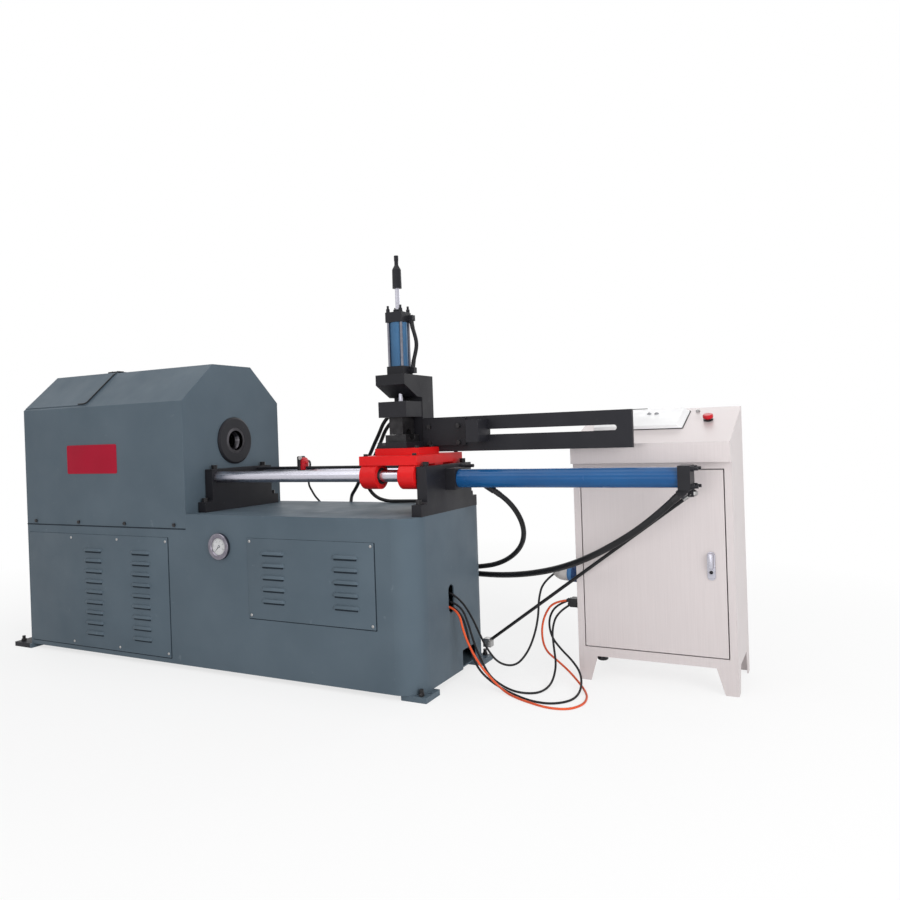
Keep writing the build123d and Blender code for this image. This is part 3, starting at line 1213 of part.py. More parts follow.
def clamp_cylinder_ends():
    """Square flanges, gland and four tie rods with nuts."""
    half = CLAMP_FLANGE_SIDE / 2
    x = (CLAMP_X - half, CLAMP_X + half)
    foot = block(x, (-half, half), (ARM_TOP, CLAMP_TUBE[0]))
    top = block(x, (-half, half), (CLAMP_TUBE[1], CLAMP_TOP))
    top += bar_z(CLAMP_X, 0, (CLAMP_TOP, GLAND_TOP), CLAMP_GLAND_RADIUS)
    block_x = (x[1], x[1] + LOOP_BLOCK)
    block_y = (LOOP_BLOCK_Y - LOOP_BLOCK / 2, LOOP_BLOCK_Y + LOOP_BLOCK / 2)
    foot += block(block_x, block_y, (CLAMP_TUBE[0] - LOOP_BLOCK - PORT_GRIP, CLAMP_TUBE[0] - PORT_GRIP))
    top += block(block_x, block_y, (CLAMP_TUBE[1] + PORT_GRIP, CLAMP_TUBE[1] + PORT_GRIP + LOOP_BLOCK))
    rod_hole = bar_z(CLAMP_X, 0, (ARM_TOP - CUT, GLAND_TOP + CUT), CLAMP_ROD_RADIUS + RUN)
    foot -= rod_hole
    top -= rod_hole
    ties = []
    for side in (-1, 1):
        for depth in (-1, 1):
            place = (CLAMP_X + side * TIE_SPACING / 2, depth * TIE_SPACING / 2)
            hole = bar_z(*place, (ARM_TOP - CUT, GLAND_TOP), TIE_RADIUS + RUN)
            foot -= hole
            top -= hole
            tie_top = CLAMP_TOP + TIE_NUT_HEIGHT + TIE_END
            nut = hex_z(*place, (CLAMP_TOP, CLAMP_TOP + TIE_NUT_HEIGHT), TIE_NUT_RADIUS)
            ties.append(bar_z(*place, (ARM_TOP, tie_top), TIE_RADIUS) + nut)
    return group([foot, top, *ties])


def clamp_piston_rod():
    """Through rod: from the slide, past the piston, up to the tip."""
    rod = bar_z(CLAMP_X, 0, (SLIDE_TOP, TIP_BOTTOM), CLAMP_ROD_RADIUS)
    top = CLAMP_TUBE[1] - CLAMP_STROKE - CLAMP_PISTON_TOP
    return rod + bar_z(CLAMP_X, 0, (top - CLAMP_PISTON, top), CLAMP_BORE_RADIUS - SLIDE_GAP)


def rod_tip():
    body = TIP_BOTTOM + TIP_BODY
    neck = body + TIP_CONE
    head = neck + TIP_NECK
    profile = [
        (0, TIP_BOTTOM),
        (TIP_RADIUS, TIP_BOTTOM),
        (TIP_RADIUS - TIP_TAPER, body),
        (TIP_NECK_RADIUS, neck),
        (TIP_NECK_RADIUS, head),
        (TIP_HEAD_RADIUS, head),
        (TIP_HEAD_RADIUS, head + TIP_HEAD),
        (0, head + TIP_HEAD),
    ]
    return turned_z(profile, CLAMP_X, 0)


# Stop rail with its sliding tube stop
def stop_rail():
    """Slotted rail on a foot against the column, stiffened by a bracket in front of its root."""
    rail = block((FRAME[1], RAIL_END), (RAIL_FACE, RAIL_BACK), RAIL_Z)
    foot_z = (RAIL_Z[0] + RAIL_FOOT, RAIL_Z[1] - RAIL_FOOT)
    rail += block((FRAME[1], FRAME[1] + RAIL_FOOT), (RAIL_FACE, RAIL_FACE + RAIL_FOOT_DEPTH), foot_z)
    bracket_z = (SADDLE_TOP + RAIL_BRACKET_GAP, RAIL_Z[1] - RAIL_BRACKET_GAP)
    rail += block(RAIL_BRACKET, (RAIL_FACE - RAIL_BRACKET_THICKNESS, RAIL_FACE), bracket_z)
    slot = Pos(sum(RAIL_SLOT) / 2, SPINDLE_HEIGHT) * SlotOverall(RAIL_SLOT_LENGTH, RAIL_SLOT_HEIGHT)
    plane = Plane((0, RAIL_BACK + CUT, 0), x_dir=(1, 0, 0), z_dir=(0, -1, 0))
    return rail - extrude(plane * slot, RAIL_THICKNESS + 2 * CUT, dir=(0, -1, 0))


def tube_stop():
    """Pad on the tube axis, carried by a key in the rail slot and locked by a knob behind."""
    start = RAIL_SLOT[0] + RAIL_SLOT_HEIGHT / 2
    x = (start, start + STOP_LENGTH)
    middle = SPINDLE_HEIGHT + STOP_LIFT
    pad_z = (middle - STOP_HEIGHT / 2, middle + STOP_HEIGHT / 2)
    pad = block(x, (-STOP_REACH, RAIL_FACE - SLIDE_GAP), pad_z)
    key = RAIL_SLOT_HEIGHT / 2 - SLIDE_GAP
    key_y = (RAIL_FACE - SLIDE_GAP, RAIL_BACK + SLIDE_GAP)
    pad += block(x, key_y, (SPINDLE_HEIGHT - key, SPINDLE_HEIGHT + key))
    knob_y = (RAIL_BACK + SLIDE_GAP, RAIL_BACK + SLIDE_GAP + STOP_KNOB)
    return pad + bar_y(sum(x) / 2, knob_y, SPINDLE_HEIGHT, STOP_KNOB_RADIUS)


# Control cabinet
def cabinet_profile(inset):
    slope = (CONSOLE_BACK_TOP - CONSOLE_FRONT_TOP) / (CABINET_BACK - LIP_FRONT)
    drop = inset * math.hypot(1, slope)
    return [
        (CABINET_FRONT + inset, LEG_HEIGHT + inset),
        (CABINET_BACK - inset, LEG_HEIGHT + inset),
        (CABINET_BACK - inset, CONSOLE_BACK_TOP - drop - inset * slope),
        (LIP_FRONT + inset, CONSOLE_FRONT_TOP - drop + inset * slope),
        (LIP_FRONT + inset, CONSOLE_UNDER + inset),
        (CABINET_FRONT + inset, CONSOLE_UNDER + inset),
    ]


def cabinet_leg(x, y, side, depth):
    """Folded corner leg that tapers to its toe. x and y are its outer corner."""
    front = [
        (x, LEG_HEIGHT),
        (x + side * LEG_TOP, LEG_HEIGHT),
        (x + side * LEG_TOE, 0),
        (x, 0),
    ]
    flank = [(y + depth * abs(px - x), z) for px, z in front]
    y_limits = sorted((y, y + depth * LEG_SHEET))
    x_limits = sorted((x, x + side * LEG_SHEET))
    return prism_y(front, y_limits) + prism_x(flank, x_limits)


def door_axis():
    return DOOR[0] + DOOR_PIN_INSET, CABINET_FRONT + DOOR_PIN_INSET


def cabinet_shell():
    """Two side sheets, a folded sheet round floor, back and console, a door frame and four legs."""
    inside = (CABINET_LEFT + CABINET_SHEET, CABINET_RIGHT - CABINET_SHEET)
    sides = [
        prism_x(cabinet_profile(0), (CABINET_LEFT, inside[0])),
        prism_x(cabinet_profile(0), (inside[1], CABINET_RIGHT)),
    ]
    face_y = (CABINET_FRONT, CABINET_FRONT + CABINET_SHEET)
    front = block(inside, face_y, (LEG_HEIGHT + CABINET_SHEET, CONSOLE_UNDER))
    fold = prism_x(cabinet_profile(0), inside) - prism_x(cabinet_profile(CABINET_SHEET), inside)
    fold -= front
    stem = CONSOLE.offset(-2 * CABINET_SHEET) * Pos(ESTOP_X, ESTOP_SLOPE)
    fold -= extrude(stem * Circle(ESTOP_STEM_RADIUS + RUN), 4 * CABINET_SHEET)
    hole_x = (DOOR[0] - DOOR_GAP, DOOR[1] + DOOR_GAP)
    hole_z = (DOOR_BOTTOM - DOOR_GAP, DOOR_TOP + DOOR_GAP)
    frame_x = (hole_x[0] - CABINET_SHEET, hole_x[1] + CABINET_SHEET)
    frame_z = (hole_z[0] - CABINET_SHEET, hole_z[1] + CABINET_SHEET)
    front += block(frame_x, (CABINET_FRONT, CABINET_FRONT + DOOR_FRAME), frame_z)
    front -= block(hole_x, (CABINET_FRONT - CUT, CABINET_FRONT + DOOR_FRAME + CUT), hole_z)
    pin_z = (DOOR_BOTTOM - DOOR_PIN_LENGTH, DOOR_TOP + DOOR_PIN_LENGTH)
    front -= bar_z(*door_axis(), pin_z, DOOR_PIN_RADIUS + RUN)
    legs = []
    for side, corner_x in ((1, CABINET_LEFT), (-1, CABINET_RIGHT)):
        for depth, corner_y in ((1, CABINET_FRONT), (-1, CABINET_BACK)):
            legs.append(cabinet_leg(corner_x, corner_y, side, depth))
    return group([*sides, fold, front, *legs])


def cabinet_door():
    z = (DOOR_BOTTOM, DOOR_TOP)
    y = (CABINET_FRONT, CABINET_FRONT + DOOR_DEPTH)
    door = block(DOOR, y, z)
    hollow_x = (DOOR[0] + DOOR_SHEET, DOOR[1] - DOOR_SHEET)
    hollow_z = (z[0] + DOOR_SHEET, z[1] - DOOR_SHEET)
    door -= block(hollow_x, (y[0] + DOOR_SHEET, y[1] + CUT), hollow_z)
    door -= bar_z(*door_axis(), (z[0] - CUT, z[1] + CUT), DOOR_PIN_RADIUS + RUN)
    spindle_y = (y[0] - CUT, y[1] + CUT)
    return door - bar_y(DOOR[1] - HANDLE_X, spindle_y, HANDLE_Z, HANDLE_SPINDLE_RADIUS + RUN)


def door_handle():
    """Lever that tapers to its toe, on a spindle through the door."""
    x = DOOR[1] - HANDLE_X
    face = CABINET_FRONT - FREE_GAP
    half = HANDLE_WIDTH / 2
    lever = extrude(
        Plane((x, face, HANDLE_Z), x_dir=(1, 0, 0), z_dir=(0, -1, 0))
        * SlotOverall(HANDLE_HEIGHT, HANDLE_WIDTH, rotation=90),
        HANDLE_PLATE,
    )
    grip = [
        (face - HANDLE_PLATE, HANDLE_Z + half),
        (face - HANDLE_PROUD, HANDLE_Z + half / 2),
        (face - HANDLE_PROUD, HANDLE_Z - HANDLE_HEIGHT / 4),
        (face - HANDLE_PLATE, HANDLE_Z - HANDLE_HEIGHT / 2 + half / 2),
    ]
    lever += prism_x(grip, (x - half / 2, x + half / 2))
    stem = (face, CABINET_FRONT + 2 * DOOR_SHEET)
    return lever + bar_y(x, stem, HANDLE_Z, HANDLE_SPINDLE_RADIUS)


def console_panel():
    """Raised panel on the slope with two small lamps, and the collar of the emergency stop."""
    place = Pos(PANEL_START + PANEL_LENGTH / 2, PANEL_FOOT + PANEL_DEPTH / 2)
    outline = RectangleRounded(PANEL_LENGTH, PANEL_DEPTH, PANEL_CORNER)
    panel = extrude(CONSOLE * place * outline, PANEL_HEIGHT)
    top = CONSOLE.offset(PANEL_HEIGHT)
    lamp_y = PANEL_FOOT + PANEL_DEPTH - 3 * LAMP_RADIUS
    for number in range(2):
        lamp_x = PANEL_START + PANEL_LENGTH - LAMP_MARGIN - number * LAMP_SPACING
        panel += extrude(top * Pos(lamp_x, lamp_y) * Circle(LAMP_RADIUS), LAMP_HEIGHT)
    ring = Circle(ESTOP_COLLAR_RADIUS) - Circle(ESTOP_STEM_RADIUS + RUN)
    collar = extrude(CONSOLE * Pos(ESTOP_X, ESTOP_SLOPE) * ring, ESTOP_COLLAR)
    return group([panel, collar])


def emergency_stop():
    """Red mushroom head on a stem that is pushed down through its collar."""
    place = Pos(ESTOP_X, ESTOP_SLOPE)
    under = ESTOP_COLLAR + ESTOP_TRAVEL + FREE_GAP
    head = CONSOLE.offset(under) * place * extrude(Circle(ESTOP_RADIUS), ESTOP_HEAD)
    head = fillet(head.edges().group_by(Axis.Z)[-1], ESTOP_HEAD / 3)
    stem_end = CONSOLE.offset(-CABINET_SHEET) * place
    return head + extrude(stem_end * Circle(ESTOP_STEM_RADIUS), under + CABINET_SHEET)


def switchgear():
    """Mounting plate on the back wall with rows of contactors and breakers."""
    x = (CABINET_LEFT + SWITCHGEAR_MARGIN, CABINET_RIGHT - SWITCHGEAR_MARGIN)
    back = CABINET_BACK - CABINET_SHEET
    z = (DOOR_BOTTOM, DOOR_TOP)
    face = back - SWITCHGEAR_PLATE
    solids = [block(x, (face, back), z)]
    pitch = (z[1] - z[0]) / SWITCHGEAR_ROWS
    for row in range(SWITCHGEAR_ROWS):
        middle = z[0] + (row + 0.5) * pitch
        row_z = (middle - pitch / 5, middle + pitch / 5)
        depth = (face - SWITCHGEAR_MARGIN - SWITCHGEAR_STEP * row, face)
        solids.append(block((x[0] + pitch / 5, x[1] - pitch / (2 + row)), depth, row_z))
    return group(solids)


def side_connectors():
    """Plug in its flanged socket, gland block of the machine cables, and a gland underneath."""
    wall = CABINET_LEFT
    half = SOCKET_SIDE / 2
    flange_x = (wall - SOCKET_FLANGE, wall)
    flange = block(flange_x, (PLUG_Y - half, PLUG_Y + half), (PLUG_Z - half, PLUG_Z + half))
    ring_x = (wall - SOCKET_FLANGE - PLUG_RING, wall - SOCKET_FLANGE)
    ring = bar_x(ring_x, PLUG_Y, PLUG_Z, PLUG_RING_RADIUS)
    tail = ring_x[0] - PLUG_BODY
    body = turned_x(
        [(tail, 0), (tail, PLUG_TAIL_RADIUS), (ring_x[0], PLUG_BODY_RADIUS), (ring_x[0], 0)],
        PLUG_Y,
        PLUG_Z,
    )
    gland_y = (PLUG_Y - GLAND_WIDTH / 2, PLUG_Y + GLAND_WIDTH / 2)
    gland_z = (GLAND_Z - GLAND_HEIGHT / 2, GLAND_Z + GLAND_HEIGHT / 2)
    gland = block((wall - GLAND_LENGTH, wall), gland_y, gland_z)
    under_place = (wall + UNDER_GLAND_X, CABINET_FRONT + UNDER_GLAND_Y)
    under = bar_z(*under_place, (LEG_HEIGHT - UNDER_GLAND_HEIGHT, LEG_HEIGHT), UNDER_GLAND_RADIUS)
    return group([flange, ring, body, gland, under])


# Routes of the hoses and cables, from where each one leaves the machine
FEED_HOSE_ROUTE = [
    (1352, 18, 786), (1382, 33, 762), (1408, 60, 728), (1424, 98, 684),
    (1427, 142, 634), (1414, 188, 582), (1382, 234, 530), (1328, 276, 480),
    (1254, 312, 438), (1166, 336, 412), (1072, 346, 402),
]
RETURN_HOSE_ROUTE = [
    (2098, 0, 774), (2066, 0, 744), (2022, 2, 705), (1972, 5, 664),
    (1908, 12, 618), (1828, 26, 570), (1738, 54, 522), (1638, 104, 478),
    (1528, 166, 440), (1400, 234, 407), (1272, 300, 384), (1164, 350, 372),
    (1072, 374, 369),
]
DRAIN_HOSE_ROUTE = [
    (2132, 26, 772), (1182, 284, 82),
]
CLAMP_LOOP_ROUTE = [
    (996, 22, 1512), (999, 22, 1482), (1009, 22, 1451), (1017, 22, 1420),
    (1017, 22, 1394), (1009, 22, 1363), (999, 22, 1332), (996, 22, 1302),
]
CLAMP_HOSE_A_ROUTE = [
    (858, 116, 1132), (817, 120, 1116), (770, 131, 1080), (735, 147, 1031),
    (696, 165, 985), (659, 184, 939), (621, 203, 893), (584, 224, 848),
    (549, 246, 804), (511, 270, 767), (471, 297, 739), (440, 333, 713),
    (413, 366, 677), (396, 388, 626), (391, 394, 574),
]
CLAMP_HOSE_B_ROUTE = [
    (858, 142, 1104), (808, 146, 1086), (762, 158, 1047), (728, 175, 999),
    (691, 193, 951), (651, 212, 903), (610, 230, 853), (590, 245, 808),
    (599, 260, 760), (633, 272, 724), (686, 278, 709), (738, 280, 709),
    (790, 278, 710), (842, 275, 711), (894, 271, 712), (944, 266, 714),
]
SWITCH_CABLE_ROUTE = [
    (330, 118, 914), (327, 150, 915), (313, 180, 902), (295, 201, 880),
    (276, 220, 857), (259, 239, 832), (239, 258, 809), (227, 276, 782),
    (229, 297, 753), (230, 319, 725), (244, 337, 698), (262, 347, 670),
    (268, 350, 635), (268, 348, 602),
]
ORANGE_CABLE_ROUTE = [
    (1074, -38, 316), (1146, -38, 316), (1215, -52, 292), (1241, -72, 223),
    (1278, -85, 157), (1322, -89, 94), (1370, -74, 35), (1432, -99, 6),
    (1498, -139, 5), (1569, -170, 5), (1642, -193, 5), (1714, -178, 5),
    (1747, -111, 5), (1738, -34, 5), (1707, 36, 5), (1662, 97, 15),
    (1608, 147, 37), (1546, 185, 63), (1482, 209, 95), (1464, 219, 167),
    (1480, 222, 242), (1525, 222, 302), (1595, 222, 311),
]
BLACK_CABLE_ROUTE = [
    (1074, -26, 332), (1144, -26, 332), (1216, -30, 311), (1248, -36, 245),
    (1271, -41, 174), (1303, -45, 106), (1342, -48, 42), (1410, -54, 9),
    (1478, -78, 5), (1543, -62, 5), (1562, 4, 5), (1563, 75, 17),
    (1557, 135, 62), (1533, 178, 119), (1519, 200, 189), (1539, 221, 258),
    (1595, 238, 291),
]
LOWER_CABLE_ROUTE = [
    (1074, -12, 310), (1145, -12, 310), (1213, -30, 285), (1248, -52, 222),
    (1267, -65, 149), (1298, -70, 79), (1354, -65, 29), (1426, -80, 7),
    (1492, -117, 5), (1558, -148, 5), (1632, -150, 5), (1686, -102, 5),
    (1699, -30, 5), (1692, 44, 21), (1667, 109, 51), (1617, 157, 81),
    (1557, 198, 109), (1503, 229, 151), (1489, 244, 223), (1529, 250, 286),
    (1595, 252, 307),
]
PLUG_CABLE_ROUTE = [
    (1074, -10, 366), (1146, -10, 367), (1204, -2, 327), (1238, 18, 260),
    (1257, 42, 190), (1282, 61, 119), (1325, 80, 57), (1391, 103, 47),
    (1440, 118, 104), (1468, 131, 176), (1482, 145, 251), (1475, 174, 322),
    (1481, 220, 383), (1535, 236.5, 423),
]


# Fittings that the hoses and cables end in
def hose_stub(route, diameter, back):
    """Round fitting along the first run of a hose, which ends a little inside it."""
    first = Vector(*route[0])
    along = (Vector(*route[1]) - first).normalized()
    plane = Plane(origin=first - along * back, z_dir=along)
    return extrude(plane * Circle(diameter / 2 + PORT_WALL), back + PORT_GRIP)


def hose_fittings():
    half = FEED_END_SIDE / 2
    cap_foot = FEED_HEIGHT - half
    tube = bar_x(FEED_TUBE, 0, FEED_HEIGHT, FEED_TUBE_RADIUS + RUN)
    above_x = (FEED_CAP[0] - STUB_LENGTH, FEED_CAP[1] + STUB_LENGTH)
    above = block(above_x, (-half, half), (cap_foot, FEED_HEIGHT + half))
    feed_port = hose_stub(FEED_HOSE_ROUTE, FEED_HOSE_DIAMETER, STUB_LENGTH) - tube
    return_port = hose_stub(RETURN_HOSE_ROUTE, RETURN_HOSE_DIAMETER, STUB_LENGTH) - above
    drain_x = (FEED_CAP[1] - DRAIN_PORT, FEED_CAP[1])
    drain_y = (DRAIN_PORT_Y - DRAIN_PORT / 2, DRAIN_PORT_Y + DRAIN_PORT / 2)
    drain_port = block(drain_x, drain_y, (cap_foot - DRAIN_PORT_HEIGHT, cap_foot))
    manifold_x = (RIGHT - MANIFOLD_MARGIN - MANIFOLD_LENGTH, RIGHT - MANIFOLD_MARGIN)
    manifold_z = (MANIFOLD_BOTTOM, MANIFOLD_BOTTOM + MANIFOLD_HEIGHT)
    manifold = block(manifold_x, (BACK, BACK + MANIFOLD_DEPTH), manifold_z)
    box_x = (SWITCH_BOX_START, SWITCH_BOX_START + SWITCH_BOX_LENGTH)
    box_z = (SWITCH_BOX_BOTTOM, SWITCH_BOX_BOTTOM + SWITCH_BOX_HEIGHT)
    switch_box = block(box_x, (BACK, BACK + SWITCH_BOX_DEPTH), box_z)
    boss_y = (DRAIN_BOSS_Y - DRAIN_BOSS / 2, DRAIN_BOSS_Y + DRAIN_BOSS / 2)
    boss_z = (DRAIN_BOSS_Z - DRAIN_BOSS / 2, DRAIN_BOSS_Z + DRAIN_BOSS / 2)
    boss = block((RIGHT, RIGHT + DRAIN_BOSS), boss_y, boss_z)
    hose_x = (HOSE_BOX_START, HOSE_BOX_START + HOSE_BOX_LENGTH)
    hose_z = (HOSE_BOX_BOTTOM, HOSE_BOX_BOTTOM + HOSE_BOX_HEIGHT)
    hose_box = block(hose_x, (BACK, BACK + HOSE_BOX_DEPTH), hose_z)
    port_x = (BED_PORT_X - BED_PORT_LENGTH / 2, BED_PORT_X + BED_PORT_LENGTH / 2)
    port_y = (BED_PORT_Y - BED_PORT_WIDTH / 2, BED_PORT_Y + BED_PORT_WIDTH / 2)
    bed_port = block(port_x, port_y, (BED_HEIGHT, BED_HEIGHT + BED_PORT_HEIGHT))
    return group([feed_port, return_port, drain_port, manifold, switch_box, boss, hose_box, bed_port])


# Hoses and cables: straight runs joined by the largest arcs that fit
def cord(name, points, diameter):
    corners = [Vector(*point) for point in points]
    radii = []
    for before, corner, after in zip(corners, corners[1:], corners[2:]):
        turn = math.radians((corner - before).get_angle(after - corner))
        shorter = min((corner - before).length, (after - corner).length)
        radii.append(0.45 * shorter / math.tan(turn / 2))
    path = FilletPolyline(*corners, radius=radii) if radii else Line(*corners)
    section = Plane(origin=corners[0], z_dir=corners[1] - corners[0]) * Circle(diameter / 2)
    tube = sweep(section, path=path)
    share = tube.volume / (math.pi * diameter**2 / 4 * path.length)
    print(name, "length", round(path.length), "volume share", round(share, 4), end=" ")
    print("radii in diameters", [round(radius / diameter, 1) for radius in radii])
    return tube


CORDS = {
    "feed_hose": (FEED_HOSE_ROUTE, FEED_HOSE_DIAMETER),
    "return_hose": (RETURN_HOSE_ROUTE, RETURN_HOSE_DIAMETER),
    "drain_hose": (DRAIN_HOSE_ROUTE, DRAIN_HOSE_DIAMETER),
    "clamp_loop_hose": (CLAMP_LOOP_ROUTE, CLAMP_HOSE_DIAMETER),
    "clamp_hose_a": (CLAMP_HOSE_A_ROUTE, CLAMP_HOSE_DIAMETER),
    "clamp_hose_b": (CLAMP_HOSE_B_ROUTE, CLAMP_HOSE_DIAMETER),
    "switch_cable": (SWITCH_CABLE_ROUTE, SWITCH_CABLE_DIAMETER),
    "orange_cable": (ORANGE_CABLE_ROUTE, CABLE_DIAMETER),
    "black_cable": (BLACK_CABLE_ROUTE, CABLE_DIAMETER),
    "lower_cable": (LOWER_CABLE_ROUTE, CABLE_DIAMETER),
    "plug_cable": (PLUG_CABLE_ROUTE, CABLE_DIAMETER),
}

PIECES = {
    "base_frame": base_frame(),
    "frame_bolts": frame_bolts(),
    "louvre_covers": louvre_covers(),
    "gauge_case": gauge_case(),
    "gauge_needle": gauge_needle(),
    "hood_shell": hood_shell(),
    "hood_lid": hood_lid(),
    "hinge_pins": hinge_pins(),
    "nose_ring": nose_ring(),
    "headstock_housing": headstock_housing(),
    "spindle_bearings": spindle_bearings(),
    "spindle": spindle(),
    "forming_head": forming_head(),
    "spindle_pulley": spindle_pulley(),
    "motor_pulley": motor_pulley(),
    "drive_belts": drive_belts(),
    "main_motor": main_motor(),
    "hydraulic_unit": hydraulic_unit(),
    "head_support": head_support(),
    "tail_support": tail_support(),
    "guide_rods": guide_rods(),
    "stop_rod": stop_rod(),
    "limit_switch": limit_switch(),
    "feed_cylinder_tube": feed_cylinder_tube(),
    "feed_cylinder_ends": feed_cylinder_ends(),
    "feed_piston_rod": feed_piston_rod(),
    "hose_fittings": hose_fittings(),
    "carriage_plate": carriage_plate(),
    "bearing_housings": bearing_housings(),
    "bush_liners": bush_liners(),
    "saddle_plate": saddle_plate(),
    "carriage_bolts": carriage_bolts(),
    "clamp_frame": clamp_frame(),
    "lower_die": lower_die(),
    "upper_die": upper_die(),
    "clamp_slide": clamp_slide(),
    "clamp_cylinder_tube": clamp_cylinder_tube(),
    "clamp_cylinder_ends": clamp_cylinder_ends(),
    "clamp_piston_rod": clamp_piston_rod(),
    "rod_tip": rod_tip(),
    "stop_rail": stop_rail(),
    "tube_stop": tube_stop(),
    "cabinet_shell": cabinet_shell(),
    "cabinet_door": cabinet_door(),
    "door_handle": door_handle(),
    "console_panel": console_panel(),
    "emergency_stop": emergency_stop(),
    "switchgear": switchgear(),
    "side_connectors": side_connectors(),
}
for name, (route, diameter) in CORDS.items():
    PIECES[name] = cord(name, route, diameter)

os.makedirs("parts", exist_ok=True)
for name, shape in PIECES.items():
    export_step(shape, f"parts/{name}.step")
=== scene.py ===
"""Looks of the tube end forming machine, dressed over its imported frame."""
import json
import math
from typing import NamedTuple

import bmesh
import bpy
from mathutils import Matrix, Vector


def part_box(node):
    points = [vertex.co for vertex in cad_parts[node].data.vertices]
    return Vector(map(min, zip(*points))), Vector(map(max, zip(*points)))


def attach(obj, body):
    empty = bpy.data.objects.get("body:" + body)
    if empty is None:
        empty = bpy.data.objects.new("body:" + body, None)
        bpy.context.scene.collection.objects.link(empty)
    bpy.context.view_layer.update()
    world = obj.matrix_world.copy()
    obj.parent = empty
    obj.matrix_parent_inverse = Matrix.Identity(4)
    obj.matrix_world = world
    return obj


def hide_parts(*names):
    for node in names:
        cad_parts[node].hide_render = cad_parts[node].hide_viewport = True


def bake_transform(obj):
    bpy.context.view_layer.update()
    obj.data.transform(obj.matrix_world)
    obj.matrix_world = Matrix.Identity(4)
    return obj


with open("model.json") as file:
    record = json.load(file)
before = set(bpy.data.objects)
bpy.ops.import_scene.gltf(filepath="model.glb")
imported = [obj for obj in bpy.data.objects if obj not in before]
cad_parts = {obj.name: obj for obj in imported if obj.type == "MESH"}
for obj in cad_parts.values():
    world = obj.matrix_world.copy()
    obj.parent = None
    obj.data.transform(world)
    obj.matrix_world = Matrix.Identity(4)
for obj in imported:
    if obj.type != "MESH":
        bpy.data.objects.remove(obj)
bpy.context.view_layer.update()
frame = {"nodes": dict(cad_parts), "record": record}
scene = bpy.context.scene
MM = 0.001

# Camera and studio: the photograph in pixels, its camera in metres and degrees
PHOTO_SIZE = 900
PHOTO_CENTRE_X, PHOTO_CENTRE_Y = 454.76, 436.78
FOCAL_LENGTH = 767.40
SENSOR_WIDTH = 36
CAMERA_PLACE = (2.62919, -2.82871, 1.01841)
CAMERA_YAW, CAMERA_PITCH, CAMERA_ROLL = 26.867, -0.228, -1.940
WHITE = (1, 1, 1, 1)
FLOOR_GREY = (0.86, 0.86, 0.86, 1)
FLOOR_RADIUS = 14
FADE_START, FADE_END = 1.5, 4.0
WHITE_BY_MACHINE = 0.72
AMBIENT_LIGHT = 0.36


def set_camera():
    """The photograph's lens, about a metre above the floor and right of the machine's middle."""
    yaw, pitch, roll = (math.radians(angle) for angle in (CAMERA_YAW, CAMERA_PITCH, CAMERA_ROLL))
    ahead = Vector((-math.sin(yaw) * math.cos(pitch), math.cos(yaw) * math.cos(pitch), math.sin(pitch)))
    level = Vector((math.cos(yaw), math.sin(yaw), 0))
    upright = level.cross(ahead)
    right = math.cos(roll) * level + math.sin(roll) * upright
    up = math.cos(roll) * upright - math.sin(roll) * level
    data = bpy.data.cameras.new("photo_camera")
    data.lens = SENSOR_WIDTH * FOCAL_LENGTH / PHOTO_SIZE
    data.shift_x = (PHOTO_SIZE / 2 - PHOTO_CENTRE_X) / PHOTO_SIZE
    data.shift_y = (PHOTO_CENTRE_Y - PHOTO_SIZE / 2) / PHOTO_SIZE
    camera = bpy.data.objects.new("photo_camera", data)
    turn = Matrix((right, up, -ahead)).transposed().to_4x4()
    camera.matrix_world = Matrix.Translation(CAMERA_PLACE) @ turn
    scene.collection.objects.link(camera)
    scene.camera = camera


def softbox(name, place, aim, size, power, mirrored=True):
    """A soft lamp; one that isn't mirrored leaves no glare on paint."""
    data = bpy.data.lights.new(name, "AREA")
    data.shape = "RECTANGLE"
    data.size, data.size_y = size
    data.energy = power
    lamp = bpy.data.objects.new(name, data)
    lamp.location = place
    lamp.rotation_euler = (Vector(aim) - Vector(place)).to_track_quat("-Z", "Y").to_euler()
    lamp.visible_glossy = mirrored
    scene.collection.objects.link(lamp)


def set_sockets(node, sockets):
    """Constants on a node's sockets; an underscore in a name stands for a space."""
    for name, value in sockets.items():
        node.inputs[name.replace("_", " ")].default_value = value


def add_node(tree, kind, operation=None, **sockets):
    """A new shader node with its operation and its constants."""
    node = tree.nodes.new("ShaderNode" + kind)
    if operation:
        node.operation = operation
    set_sockets(node, sockets)
    return node


def seen_directly(tree):
    """1 for what the eye sees directly, in a mirror finish or through glass."""
    path = add_node(tree, "LightPath")
    share = path.outputs["Is Camera Ray"]
    for ray in ("Is Glossy Ray", "Is Transmission Ray"):
        either = add_node(tree, "Math", "MAXIMUM")
        tree.links.new(share, either.inputs[0])
        tree.links.new(path.outputs[ray], either.inputs[1])
        share = either.outputs[0]
    return share


def show_mix(tree, share, first, second, output):
    """Sends two shaders to an output, the second one by its share."""
    mix = add_node(tree, "MixShader")
    tree.links.new(share, mix.inputs["Fac"])
    tree.links.new(first.outputs[0], mix.inputs[1])
    tree.links.new(second.outputs[0], mix.inputs[2])
    tree.links.new(mix.outputs[0], add_node(tree, output).inputs["Surface"])


def set_room():
    """White backdrop to the eye, and a weaker light from all round."""
    world = bpy.data.worlds.new("pale_room")
    scene.world = world
    world.use_nodes = True
    tree = world.node_tree
    tree.nodes.clear()
    ambient = add_node(tree, "Background", Color=WHITE, Strength=AMBIENT_LIGHT)
    backdrop = add_node(tree, "Background", Color=WHITE, Strength=1)
    show_mix(tree, seen_directly(tree), ambient, backdrop, "OutputWorld")


